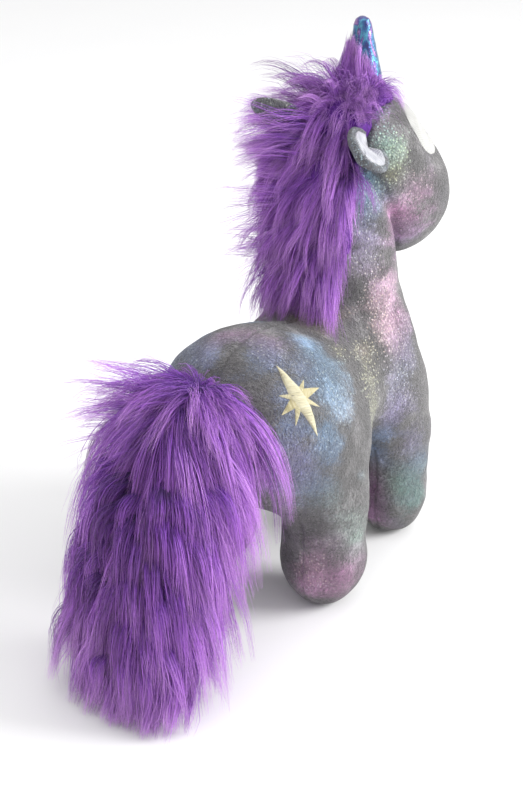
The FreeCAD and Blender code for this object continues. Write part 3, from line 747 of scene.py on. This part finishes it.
def clear_of_ear(paths):
    """Which fibres stay out of the open side of the right ear."""
    _, side, root, turn, length, *_ = EARS[1]
    axes = ear_frame(side, turn)
    way, foot = axes[:, 1], np.array((side * root[0], *root[1:])) + axes[:, 2] * 7.0
    along = np.clip((paths - foot) @ way, 4.0, length)
    gap = np.linalg.norm(paths - foot - along[..., None] * way, axis=-1)
    return gap.min(-1) > 12.5


def coat(name, guides, per_lock, rng, body, node, radius=0.16, extra=(), light=0.04, edge_light=0.0, **shape):
    """One fur piece: locks round its guides, riding on a body in place of a CAD node."""
    paths, stray = locks(guides, per_lock, rng, **shape)
    paths[..., 2] = np.maximum(paths[..., 2], 0.8)
    beyond = np.maximum(np.abs(paths[..., 0]) - WIDEST, 0)
    paths[..., 0] -= np.sign(paths[..., 0]) * beyond * 0.6
    if body == "head":
        kept = clear_of_ear(paths)
        paths, stray = paths[kept], stray[kept]
    # painted light and shade: light lifts a whole piece's tone, and edge_light makes locks that end far out
    # to the sides lighter and those in the middle darker
    edge = edge_light * (np.abs(guides[:, 3, 0]) / 50 - 0.6)
    tone = np.repeat(np.clip(rng.normal(0.46 + light, 0.20, len(guides)) + edge, 0, 1), per_lock)
    tone = tone[kept] if body == "head" else tone
    tone = np.clip(tone + rng.normal(0, 0.17, len(tone)) + 0.12 * stray, 0, 1)
    piece = tubes(name, paths, radius * rng.uniform(0.6, 1.25, len(paths)), tone, rng)
    dress(piece, FUR, (node, *extra))
    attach(piece, body)
    return piece


def tail_guides(count, rng, outer):
    """Locks that sweep out all round the tail's core and then fall; a third of them are the skirt."""
    skirt = rng.random(count) < 0.35
    place = np.where(skirt, rng.uniform(0.50, 1.0, count), rng.random(count) * (0.95 if outer else 0.8))
    angle = rng.uniform(0, 2 * math.pi, count)
    out = np.stack([np.cos(angle) * 1.10, np.sin(angle) * 0.78 + 0.12, 0 * angle], -1)
    root = bezier(TAIL_SPINE, place[None, :])[0] + rng.normal(0, 2.0, (count, 3))
    root += out * np.where(skirt, 22, 0)[:, None]
    length = rng.uniform(62, 92, count) * (1.0 if outer else 0.85)
    wide = rng.uniform(0.50, 0.66, count) * (1.0 if outer else 0.75) * np.where(skirt, 0.48, 1.0)
    drop = np.minimum(length * rng.uniform(0.70, 0.92, count), root[:, 2] - 2 - 9 * rng.random(count) ** 2)
    first = root + out * (length * 0.26)[:, None] + UP * (length * 0.12 * (1 - place) * ~skirt)[:, None]
    second = root + out * (length * wide * 0.94)[:, None] - UP * (drop * 0.22)[:, None]
    tip = root + out * (length * wide)[:, None] - UP * drop[:, None] + rng.normal(0, 3.5, (count, 3))
    return np.stack([root, first, second, tip], 1)


def tuft_guides(count, rng):
    """Messy locks that stand out all round the tail's root, the longest of them to the left."""
    angle = rng.uniform(0, 2 * math.pi, count)
    lift = rng.uniform(-0.25, 0.45, count)
    out = np.stack([np.cos(angle), np.sin(angle) * 0.75 + 0.40, lift], -1)
    length = rng.uniform(20, 44, count) * np.where(np.sin(angle) < -0.3, 0.7, 1.0)
    length *= 1 + 0.6 * (rng.random(count) < 0.2) * (np.cos(angle) > 0.1)
    root = np.array((0.0, 80.0, 158.0)) + out * 4 + rng.normal(0, 3, (count, 3))
    first = root + out * (length * 0.35)[:, None] + UP * 6
    second = root + out * (length * 0.8)[:, None] + rng.normal(0, 3, (count, 3))
    tip = root + out * length[:, None] - UP * (length * rng.uniform(0.25, 0.85, count))[:, None]
    return np.stack([root, first, second, tip + rng.normal(0, 3, (count, 3))], 1)


def march(field, points, way, limit):
    """Points moved against a direction until they meet the field's surface, or for so far at most."""
    gone = np.zeros(len(points))
    for _ in range(60):
        spots = points - np.array(way, float) * gone[:, None]
        gone = np.minimum(gone + np.maximum(field(spots), 0.0) * 0.8, limit)
    return points - np.array(way, float) * gone[:, None]


def onto(field, points, way, reach=60.0):
    """Points brought onto the field's surface from a direction, and the outward normals there."""
    return settle(field, march(field, points + np.array(way, float) * reach, way, reach + 45.0), 6)


def mane_guides(count, rng, upper):
    """Messy locks rooted on the back of the neck, or of the head, most of them falling to the left."""
    x = rng.uniform(-11, 27 if upper else 15, count)
    z = rng.uniform(246, 290, count) if upper else rng.uniform(190, 256, count)
    field = head_field if upper else body_field
    root, normal = onto(field, np.stack([x, np.full(count, -40.0), z], -1), (0, 1, 0))
    lean = np.clip(x / 15 * 0.6 + rng.normal(0.24, 0.52, count), -0.55, 1.5)
    way = unit(normal * (1, 1, 0.2) + np.stack([lean, 0.2 + 0 * x, 0 * x], -1))
    length = rng.uniform(32, 52, count)
    proud = (rng.random(count) < 0.28) | (x > 14)
    stand = length * np.where(proud, rng.uniform(0.55, 0.80, count), rng.uniform(0.20, 0.52, count))
    drop = np.sqrt(np.square(length) - np.square(stand))
    first = root + way * (stand * 0.55)[:, None] + UP * rng.uniform(-2, 5, count)[:, None]
    second = root + way * (stand * 1.02)[:, None] - UP * (drop * 0.38)[:, None]
    tip = root + way * stand[:, None] - UP * drop[:, None] + rng.normal(0, 3.0, (count, 3))
    return np.stack([root - normal, first, second, tip], 1)


def crest_guides(count, rng):
    """The tuft between the ears: it stands up behind the horn and flops out, mostly over the left ear."""
    x, y = rng.uniform(-14, 22, count), rng.uniform(-94, -62, count)
    beside = rng.random(count) < 0.3
    x = np.where(beside, rng.uniform(17, 28, count), x)
    y = np.where(beside, rng.uniform(-84, -64, count), y)
    root, normal = onto(head_field, np.stack([x, y, np.full(count, 290.0)], -1), (0, 0, 1))
    aside = np.clip(x / 16 + rng.normal(0.1, 0.5, count), -1.0, 1.6)
    back = rng.random(count)
    tall = rng.uniform(12, 32, count) * np.where(beside, 0.7, 1.0)
    way = np.stack([aside * rng.uniform(14, 26, count), 2 + 16 * back, tall], -1)
    first = root + way * (0.25, 0.2, 0.5)
    second = root + way * (0.7, 0.6, 1.05)
    droop = np.stack([0 * x, 0 * x, -tall * rng.uniform(0.0, 0.9, count) - 4 * back], -1)
    return np.stack([root - normal, first, second, root + way * (1.3, 1.2, 1.05) + droop], 1)


def spire_guides(count, rng):
    """Locks that lie up the horn, highest at its left and back, and leave its right side bare."""
    angle = np.radians(rng.uniform(-35, 195, count))
    tall = np.interp(np.degrees(angle), (-35, 0, 35, 80, 120, 160, 195), (16, 32, 41, 38, 32, 20, 10))
    tall = tall * rng.uniform(0.6, 1.15, count)
    base = HORN_BASE - (0, 0, 4)
    axis = np.array((0.0, math.sin(math.radians(HORN_LEAN)), math.cos(math.radians(HORN_LEAN))))
    ring = np.stack([np.cos(angle), np.sin(angle), 0 * angle], -1)
    root = base + ring * 14 + rng.normal(0, 1.5, (count, 3)) * (1, 1, 0.2)
    first = root + ring * 3 + axis * (tall * 0.35)[:, None]
    second = base + ring * (13.5 - 0.12 * tall)[:, None] + axis * (tall * 0.75)[:, None]
    lean = (12.0 - 0.13 * tall + 2.5 * rng.random(count))[:, None]
    tip = base + ring * lean + axis * tall[:, None] + rng.normal(0, 1.0, (count, 3))
    return np.stack([root, first, second, tip], 1)


def hem_guides(count, rng):
    """Locks from the tail's lower end that run back along the floor."""
    x = rng.uniform(-38, 30, count)
    root = np.stack([x, rng.uniform(136, 156, count), rng.uniform(24, 62, count)], -1)
    back = rng.uniform(168, 189, count) - 0.005 * x ** 2
    tip = np.stack([x * 1.1 - 7, back, 1 + 7 * rng.random(count) ** 2], -1)
    first = root * 0.6 + tip * 0.4 + UP * 6
    second = root * 0.2 + tip * 0.8 + UP * 1.0
    return np.stack([root, first, second, tip + rng.normal(0, 2.0, (count, 3)) * (1, 1, 0)], 1)


def veil_guides(count, rng):
    """Locks that fall from the crown over the back of the left ear."""
    spots = np.stack([rng.uniform(6, 24, count), rng.uniform(-82, -62, count), np.full(count, 290.0)], -1)
    root, normal = onto(head_field, spots, (0, 0, 1))
    way = np.array((20.0, 32.0, 3.0)) * rng.uniform(0.45, 0.85, count)[:, None]
    way = way + rng.normal(0, 3.0, (count, 3))
    first = root + way * 0.3 + UP * 8
    second = root + way * 0.7 + UP * 10
    return np.stack([root - normal, first, second, root + way], 1)


def wisp_guides(root, length, rng):
    """Single long hairs that stand out to the left and droop a little at their ends."""
    count = len(root)
    way = unit(np.array((0.85, 0.50, 0.12)) + rng.normal(0, 0.22, (count, 3)))
    way = way * (length * rng.uniform(0.6, 1, count))[:, None]
    droop = UP * (length * rng.uniform(0.0, 0.25, count))[:, None]
    first = root + way * 0.35 + UP * 3
    second = root + way * 0.75 - droop * 0.3
    return np.stack([root, first, second, root + way - droop], 1)


def make_fur():
    rng = np.random.default_rng(21)
    tail = {"body": "tail", "node": "tail_fur", "extra": ("tail_core",)}
    neck = {"body": "neck", "node": "neck_mane", "extra": ("mane_backing",)}
    head = {"body": "head", "node": "crown_fur"}
    for index in range(6):
        # the light and edge_light settings paint light and shade into the fur's tone
        coat(f"tail_plume_{index}", tail_guides(130, rng, index > 1), 34, rng, **tail, radius=0.18,
             spread=6.0, clump=0.42, light=0.0, edge_light=0.35)
    coat("tail_tuft", tuft_guides(150, rng), 29, rng, **tail, spread=5.0, frizz=2.4, light=0.10)
    for index in range(3):
        coat(f"neck_mane_{index}", mane_guides(190, rng, False), 23, rng, **neck, frizz=1.8)
    for index in range(3):
        coat(f"head_mane_{index}", mane_guides(160, rng, True), 26, rng, **head, frizz=1.8)
    for index in range(2):
        coat(f"crown_tuft_{index}", crest_guides(130, rng), 28, rng, **head, radius=0.15, frizz=2.4,
             light=0.06)
    coat("crown_frizz", crest_guides(60, rng), 14, rng, **head, radius=0.12, spread=6.0, clump=0.9, frizz=6.0,
         light=0.35, wild=0.6)
    coat("horn_tuft", spire_guides(150, rng), 29, rng, **head, radius=0.15, spread=2.6, clump=0.35, frizz=1.0,
         light=0.06, wild=0.12)
    coat("ear_veil", veil_guides(80, rng), 28, rng, **head, radius=0.15)
    coat("tail_hem", hem_guides(110, rng), 34, rng, **tail, radius=0.18, spread=5.5, clump=0.42, light=0.08)
    fine = {"radius": 0.15, "spread": 2.5, "clump": 0.6, "frizz": 2.4, "light": 0.3, "wild": 0.3}
    for name, count, low, high, length, place in (
        ("neck_wisps", 90, (4, -62, 192), (16, -50, 246), 62, neck),
        ("head_wisps", 70, (8, -70, 250), (24, -56, 284), 52, head),
        ("tail_wisps", 90, (4, 76, 130), (24, 96, 166), 68, tail),
    ):
        coat(name, wisp_guides(rng.uniform(low, high, (count, 3)), length, rng), 6, rng, **place, **fine)


def plume_field(p):
    d = ball_field(p, (0, 98, 142), (16, 13, 15))
    d = soft_min(d, ball_field(p, (0, 117, 98), (32, 17, 42)), 16)
    d = soft_min(d, ball_field(p, (0, 134, 56), (37, 24, 32)), 14) + 1.2 * waves(p, 14, 12)
    return -soft_min(-d, p[..., 2] - 4.0, 6)         # cut off flat, clear of the floor


def mane_field(p):
    d = soft_min(ball_field(p, (0, -60, 244), (17, 12, 18)), ball_field(p, (0, -57, 214), (20, 12, 25)), 12)
    return d + 0.9 * waves(p, 12, 13)


def crown_field(p):
    return ball_field(p, (0, -78, 278), (17, 15, 16)) + 0.9 * waves(p, 12, 14)


def make_underfur():
    """Dense short fur under the long fibres, dark as painted shade between them, so that no light shows
    through them.
    """
    for name, field, low, high, body, node in (
        ("tail_underfur", plume_field, (-60, 80, -2), (60, 180, 170), "tail", "tail_fur"),
        ("neck_underfur", mane_field, (-34, -80, 170), (34, -14, 280), "neck", "neck_mane"),
        ("crown_underfur", crown_field, (-28, -102, 252), (28, -50, 312), "head", "crown_fur"),
    ):
        points, faces, normals = skin_of(field, low, high, 3.0)
        piece, _ = part_of(name, points, faces, normals, np.ones(len(faces), bool))
        dress(piece, UNDERFUR, (node,))
        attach(piece, body)


# ---- tail tab, horn, ears

def shell(rows, columns):
    """Faces of a net of points whose columns close on themselves."""
    index = np.arange(rows * columns).reshape(rows, columns)
    a, b = index[:-1], index[1:]
    return np.stack([a, np.roll(a, -1, 1), np.roll(b, -1, 1), b], -1).reshape(-1, 4)


def lathe(name, profile, base, turn, wobble, seed):
    """A closed turned form of (radius, height) pairs, wrinkled by waves, at a base point and turned."""
    rows, columns = 90, 72
    radii, heights = (np.interp(np.linspace(0, 1, rows), np.linspace(0, 1, len(profile)), column)
                      for column in np.array(profile, float).T)
    angle = np.linspace(0, 2 * math.pi, columns, endpoint=False)
    rings = np.stack([radii[:, None] * np.cos(angle), radii[:, None] * np.sin(angle),
                      np.repeat(heights[:, None], columns, 1)], -1).reshape(-1, 3)
    grow = 1 + wobble * (waves(rings, 9, seed) + 0.5 * waves(rings, 4.5, seed + 1))[:, None] * (1, 1, 0)
    points = (rings * grow) @ turn.T + base
    piece = new_mesh(name, points, shell(rows, columns))
    store(piece, "rest", "FLOAT_VECTOR", rings)
    return piece


def turned_about_x(degrees):
    c, s = math.cos(math.radians(degrees)), math.sin(math.radians(degrees))
    return np.array(((1, 0, 0), (0, c, -s), (0, s, c)))


def make_horn():
    lean = turned_about_x(-HORN_LEAN)
    profile = [(0.1, -6), (9.5, -5.5), (12.0, -3.0), (12.2, 0), (11.4, 6), (10.3, 13), (9.3, 20), (8.2, 27),
               (7.2, 34), (6.2, 40), (5.4, 44.5), (4.0, 47.6), (2.0, 49.0), (0.05, 49.3)]
    piece = lathe("horn_foil_cover", profile, HORN_BASE, lean, 0.028, 31)
    dress(piece, HORN, ("horn_cover", "horn_filling"))
    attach(piece, "horn")
    rng = np.random.default_rng(33)
    count = 30
    height = np.linspace(1.5, 45, count)
    radius = np.interp(height, [p[1] for p in profile], [p[0] for p in profile]) + 0.1
    stitches = []
    for h, r in zip(height, radius):
        bow = np.linspace(-0.07, 0.07, 5)
        angle = math.pi / 2 + bow
        spot = np.stack([r * np.cos(angle), r * np.sin(angle), h + bow * 9], -1) @ lean.T + HORN_BASE
        stitches.append(spot)
    threads("horn_seam", stitches, 0.22, rng.uniform(0.3, 0.7, count), rng, GREY_THREAD, (),
            "horn")


def make_tail_tab():
    profile = [(0.1, -5), (7.2, -4.6), (8.2, -2), (8.0, 4), (7.4, 10), (6.6, 14), (4.2, 16.4), (0.05, 17)]
    piece = lathe("tail_tab_cloth", profile, np.array((0.0, 82.0, 150.0)), turned_about_x(-110), 0.03, 41)
    count = len(piece.data.vertices)
    lay_foil(piece, np.tile((0.2, 0.16, 0.3), (count, 1)), np.full(count, 0.4), np.zeros(count))
    dress(piece, VELOUR, ("tail_tab",))
    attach(piece, "tail_root")


def ear_frame(side, turn):
    """The ear's own axes as columns: across, along, and the side that it opens to."""
    yaw, pitch, roll = -side * turn[0], turn[1], side * turn[2]
    c, s = math.cos(math.radians(yaw)), math.sin(math.radians(yaw))
    about_z = np.array(((c, -s, 0), (s, c, 0), (0, 0, 1)))
    c, s = math.cos(math.radians(roll)), math.sin(math.radians(roll))
    about_y = np.array(((c, 0, s), (0, 1, 0), (-s, 0, c)))
    return about_z @ turned_about_x(pitch) @ about_y


def ear_sheet(across, along, ear):
    """The middle of the ear's cupped cloth, for across from -1 to 1 and along from 0 to 1."""
    _, side, root, turn, length, wide, deep = ear
    half = wide * np.interp(along, (0, 0.12, 0.3, 0.5, 0.7, 0.85, 0.95, 1),
                            (0.50, 0.72, 0.95, 1.0, 0.86, 0.60, 0.34, 0.06))
    cup = deep * np.interp(along, (0, 0.3, 0.7, 1), (1.0, 0.85, 0.55, 0.35))
    bend = across * EAR_BEND
    x = half * np.sin(bend) / math.sin(EAR_BEND)
    z = cup * (1 - np.cos(bend)) / (1 - math.cos(EAR_BEND)) + 1.5 * along ** 2
    y = length * along
    fold = 0.5 * waves(np.stack([x, y, z], -1), 17, 51)
    local = np.stack([x, y, z + fold], -1)
    return local @ ear_frame(side, turn).T + np.array((side * root[0], *root[1:]))


def thick_sheet(name, ear, rim, thickness, lift, bulge):
    """A closed pad that follows the ear's sheet, thickest inside and round at its edge."""
    rows, columns = 44, 30
    along = np.linspace(0.0 if rim == 0 else 0.06, 1.0 - rim, rows)
    across = np.linspace(-1 + 2 * rim, 1 - 2 * rim, columns)
    u, v = np.meshgrid(across, along)
    spots = ear_sheet(u.ravel(), v.ravel(), ear).reshape(rows, columns, 3)
    step_u, step_v = np.gradient(spots, axis=1), np.gradient(spots, axis=0)
    normal = unit(np.cross(step_u, step_v))
    edge = 1 - np.abs(np.linspace(-1, 1, columns)) ** 10
    ends = 1 - np.clip(np.linspace(-1, 1, rows), 0, 1) ** 14
    half = thickness / 2 * np.sqrt(np.maximum(edge[None, :] * ends[:, None], 0.03))
    swell = bulge * (1 - np.linspace(-1, 1, columns)[None, :] ** 2)
    swell = swell * np.sin(np.linspace(0.2, math.pi - 0.2, rows))[:, None]
    top = spots + normal * (lift + half + swell)[..., None]
    bottom = spots + normal * (lift - half)[..., None]
    loop = np.concatenate([top, bottom[:, ::-1]], 1)
    caps = [ring.mean(1, keepdims=True).repeat(loop.shape[1], 1) for ring in (loop[:1], loop[-1:])]
    loop = np.concatenate([caps[0], loop, caps[1]], 0)
    points = loop.reshape(-1, 3)
    piece = new_mesh(name, points, shell(*loop.shape[:2]))
    piece.data.flip_normals()
    store(piece, "rest", "FLOAT_VECTOR", points)
    return piece, points


def make_ears():
    for ear in EARS:
        label = ear[0]
        cloth, spots = thick_sheet(f"{label}_ear_cloth", ear, 0.0, 4.6, 0.0, 0.0)
        colour, cover, glitter = foil_of(spots)
        lay_foil(cloth, colour * 0.4 + np.array((0.14, 0.17, 0.24)), np.maximum(cover, 0.35),
                 np.maximum(glitter, 0.35))
        dress(cloth, VELOUR, (f"{label}_ear_outer",))
        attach(cloth, f"{label}_ear")
        satin, _ = thick_sheet(f"{label}_ear_satin", ear, 0.05, 3.0, 3.2, 1.6)
        dress(satin, LINING, (f"{label}_ear_lining",))
        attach(satin, f"{label}_ear")


EAR_BEND = 1.3                                 # how far round, in radians, each half of an ear curls
HORN_LEAN = 8.0
HORN_BASE = np.array((0.0, -104.0, 291.0))
EARS = (                        # name, side, root, yaw, pitch and roll, length, half width, depth of its cup
    ("left", 1, (25.5, -72.5, 267.5), (28, 36, 34), 42.0, 13.0, 10.0),
    ("right", -1, (15.5, -73.5, 264.5), (27, 8, 45), 38.0, 15.6, 10.5),
)


# ---- embroidery

FACE_START, FACE_DEPTH = -190.0, 76.0          # face stitching is laid back from here, so far at most


def face_spots(x, z, lift):
    """Points on the front of the head at those places across and up, raised off the cloth."""
    spots = march(head_field, np.stack([x, np.full(len(x), FACE_START), z], -1), (0, -1, 0), FACE_DEPTH)
    spots, normals = settle(head_field, spots, 6)
    return spots + normals * lift


def oval(name, middle, radii, lift, dome, material, nodes, tilt=0.0):
    """A raised oval of satin stitch on the head, made of rings round its middle."""
    rings, spokes = 18, 56
    (middle,), (normal,) = settle(head_field, np.array([middle], float), 6)
    level = unit(np.cross(normal, (0.0, 0.0, 1.0)))
    upright = np.cross(level, normal)
    reach = np.append(np.repeat(np.linspace(0.02, 1, rings), spokes), np.ones(spokes))
    angle = np.tile(np.linspace(0, 2 * math.pi, spokes, endpoint=False), rings + 1)
    across, along = radii[0] * reach * np.cos(angle), radii[1] * reach * np.sin(angle)
    u = across * math.cos(tilt) - along * math.sin(tilt)
    v = across * math.sin(tilt) + along * math.cos(tilt)
    spots = middle + u[:, None] * level + v[:, None] * upright
    spots, normals = settle(head_field, spots, 6)
    height = lift + dome * np.sqrt(np.maximum(1 - reach ** 4, 0))
    height[-spokes:] = -0.6
    spots = spots + normals * height[:, None]
    faces = shell(rings + 1, spokes)
    piece = new_mesh(name, spots, outward(spots, faces, normals))
    store(piece, "rest", "FLOAT_VECTOR", spots)
    store(piece, "reach", "FLOAT", reach)
    dress(piece, material, nodes)
    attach(piece, "head")
    return piece


def make_face():
    rng = np.random.default_rng(61)
    for label, side in (("left", 1), ("right", -1)):
        tilt = side * 0.30
        oval(f"{label}_eye_satin", EYE * (side, 1, 1), (20.0, 21.0), 0.25, 0.9, EYE_SATIN,
             (f"{label}_eye_patch",), tilt)
        oval(f"{label}_eye_pupil", (side * 20.0, -139, 266), (7.8, 11.6), 0.75, 0.6, PUPIL,
             (f"{label}_pupil",), tilt)
        oval(f"{label}_eye_glint", (side * 20.0 - 2.4, -138, 271.5), (2.3, 3.0), 1.3, 0.4, GLINT,
             ())
    marks = []
    t = np.linspace(0, 1, 9)
    for side in (1, -1):
        for k in range(13):
            offset = (k - 6) / 6.5
            half = 3.1 * math.sqrt(max(1 - offset ** 2, 0.05))
            z = 214 + offset * 4.4
            x = side * 17 + (2 * t - 1) * half + side * 0.25 * offset * 3
            marks.append(face_spots(x, z + 0 * x, (0.35 + 0.45 * np.sin(t * math.pi))[:, None]))
    for k in range(40):
        s = (k + 0.5) / 40 * 2 - 1
        x = 13.0 * s + 0.55 * (2 * t - 1)
        z = 198.5 + 3.6 * s ** 2 + 0.12 * (2 * t - 1)
        marks.append(face_spots(x, z + 0 * x, (0.2 + 0.35 * np.sin(t * math.pi))[:, None]))
    threads("nose_and_mouth_stitching", marks, 0.42, rng.uniform(0.2, 0.7, len(marks)), rng,
            DARK_THREAD, ("nostril_embroidery",), "head")


STAR_TIPS = (                                  # tip, half width at the middle, tone of its thread
    ((-24, 40, 171), 4.6, 0.85), ((-56, 42, 132), 4.6, 0.85),
    ((-47, 26, 156), 3.9, 0.35), ((-40, 57, 149), 3.9, 0.35),
    ((-40, 33, 162), 2.6, 0.50), ((-52, 34, 148), 2.4, 0.60),
    ((-47, 53, 142), 2.6, 0.50), ((-35, 52, 158), 2.4, 0.60),
)


def make_star():
    """The star on the right haunch: rows of satin stitch across each of its points."""
    rng = np.random.default_rng(71)
    middle, normal = settle(body_field, np.array([(-43.0, 43.5, 155.5)]))
    middle, normal = middle[0], normal[0]
    paths, tones = [], []
    t = np.linspace(-1, 1, 9)
    for order, (tip, half, tone) in enumerate(STAR_TIPS):
        way = np.array(tip, float) - middle
        way -= normal * (way @ normal)
        length = np.linalg.norm(way)
        way /= length
        across = np.cross(normal, way)
        lift = 0.95 if order < 2 else 0.45
        for s in np.arange(-0.5 if order < 2 else 1.0, length, 0.40):
            share = max(s, 0) / length
            width = half * (1 - share ** 1.15) + 0.12
            slant = 0.35 * t * width
            spots = middle + way * (s + slant[:, None]) + across * (t[:, None] * width)
            spots, up = settle(body_field, spots, 2)
            arch = lift * np.sqrt(np.maximum(1 - t ** 2, 0)) * min(1.0, width / 2) - 0.1
            paths.append(spots + up * arch[:, None])
            tones.append(tone + rng.normal(0, 0.12))
    threads("star_threads", paths, 0.25, np.array(tones), rng, CREAM_THREAD,
            ("star_embroidery",), "torso")


def make_closing_seam():
    """The ladder of grey hand stitches along the belly gusset's left edge."""
    rng = np.random.default_rng(81)
    count = 9
    t = np.linspace(-1, 1, 9)
    paths = []
    for index in range(count):
        y = -49 + index * 2.3
        spots = np.stack([GUSSET_HALF + 2.0 * t, y + 0.5 * t, np.full(len(t), 60.0)], -1)
        spots, up = onto(body_field, spots, (0, 0, -1), 0.0)
        paths.append(spots + up * (0.35 * np.sqrt(1 - t ** 2) - 0.05)[:, None])
    threads("closing_seam", paths, 0.28, rng.uniform(0.2, 0.8, count), rng, GREY_THREAD,
            ("closing_stitches",), "torso")


# ---- stage, light and camera

FLOOR_HALF = 40                                # metres, so that no view shows its edge


def make_floor():
    mesh = bpy.data.meshes.new("floor")
    corners = [(-FLOOR_HALF, -FLOOR_HALF, 0), (FLOOR_HALF, -FLOOR_HALF, 0),
               (FLOOR_HALF, FLOOR_HALF, 0), (-FLOOR_HALF, FLOOR_HALF, 0)]
    mesh.from_pydata(corners, [], [(0, 1, 2, 3)])
    floor = bpy.data.objects.new("floor", mesh)
    bpy.context.scene.collection.objects.link(floor)
    w = Wires("pale_floor")
    place = w.add("ShaderNodeTexCoord").outputs["Object"]
    tone = w.noise(place, 6.0, 3.0)
    colour = w.mix(tone, (0.90, 0.90, 0.905), (0.92, 0.92, 0.92))
    mesh.materials.append(w.finish(base_color=colour, roughness=0.7, specular_ior_level=0.2))


def aim(thing, place, target):
    thing.location = place
    thing.rotation_euler = (Vector(target) - Vector(place)).to_track_quat("-Z", "Y").to_euler()
    bpy.context.scene.collection.objects.link(thing)


def add_light(name, place, target, size, power, colour=(1.0, 1.0, 1.0)):
    lamp = bpy.data.lights.new(name, "AREA")
    lamp.shape = "DISK"
    lamp.size = size
    lamp.energy = power
    lamp.color = colour
    aim(bpy.data.objects.new(name, lamp), place, target)


def make_stage():
    scene = bpy.context.scene
    make_floor()
    world = bpy.data.worlds.new("studio")
    world.use_nodes = True
    background = world.node_tree.nodes["Background"]
    background.inputs["Color"].default_value = (1.0, 1.0, 1.0, 1.0)
    background.inputs["Strength"].default_value = 0.92
    scene.world = world
    add_light("key_light", (-1.15, -0.65, 0.70), (0.0, 0.0, 0.16), 0.8, 24.0)
    add_light("top_light", (0.1, -0.1, 1.6), (0.0, 0.0, 0.1), 1.4, 4.0)
    lens = bpy.data.cameras.new("camera")
    lens.lens = 70.2
    lens.sensor_width = 36.0
    camera = bpy.data.objects.new("camera", lens)
    aim(camera, (-0.4528, 0.7164, 0.5593), (0.002, 0.0025, 0.128))
    scene.camera = camera
    scene.view_settings.view_transform = "Standard"
    scene.view_settings.look = "None"


SKIN_STEP = 1.7                                # the skin net's cells, in millimetres
VELOUR = velour_material()
FUR = fur_material()
UNDERFUR = shaded_underfur_material()
HORN = horn_material()
PUPIL = pupil_material()
# painted sheen: the lining's slow swings from dark to light grey stand for the satin's reflections
LINING = satin_material("satin_lining", (0.34, 0.35, 0.40), (0.72, 0.72, 0.75), (0.3, 0.2, 0.9), 0.7, 0.30)
EYE_SATIN = satin_material("eye_satin", (0.40, 0.40, 0.385), (0.50, 0.50, 0.485), (0.9, 0.0, 0.3), 0.8, 0.6,
                           gloss=0.08)
GLINT = satin_material("glint_satin", (0.88, 0.88, 0.88), (0.95, 0.95, 0.95), (1.0, 0.0, 0.0), 0.5, 0.30)
CREAM_THREAD = thread_material("cream_thread", (0.50, 0.43, 0.20), (0.72, 0.68, 0.50))
DARK_THREAD = thread_material("dark_thread", (0.012, 0.010, 0.018), (0.05, 0.04, 0.07))
GREY_THREAD = thread_material("grey_thread", (0.10, 0.10, 0.12), (0.24, 0.23, 0.26))

make_body()
make_head()
make_horn()
make_ears()
make_tail_tab()
make_face()
make_star()
make_closing_seam()
make_underfur()
make_fur()
make_stage()
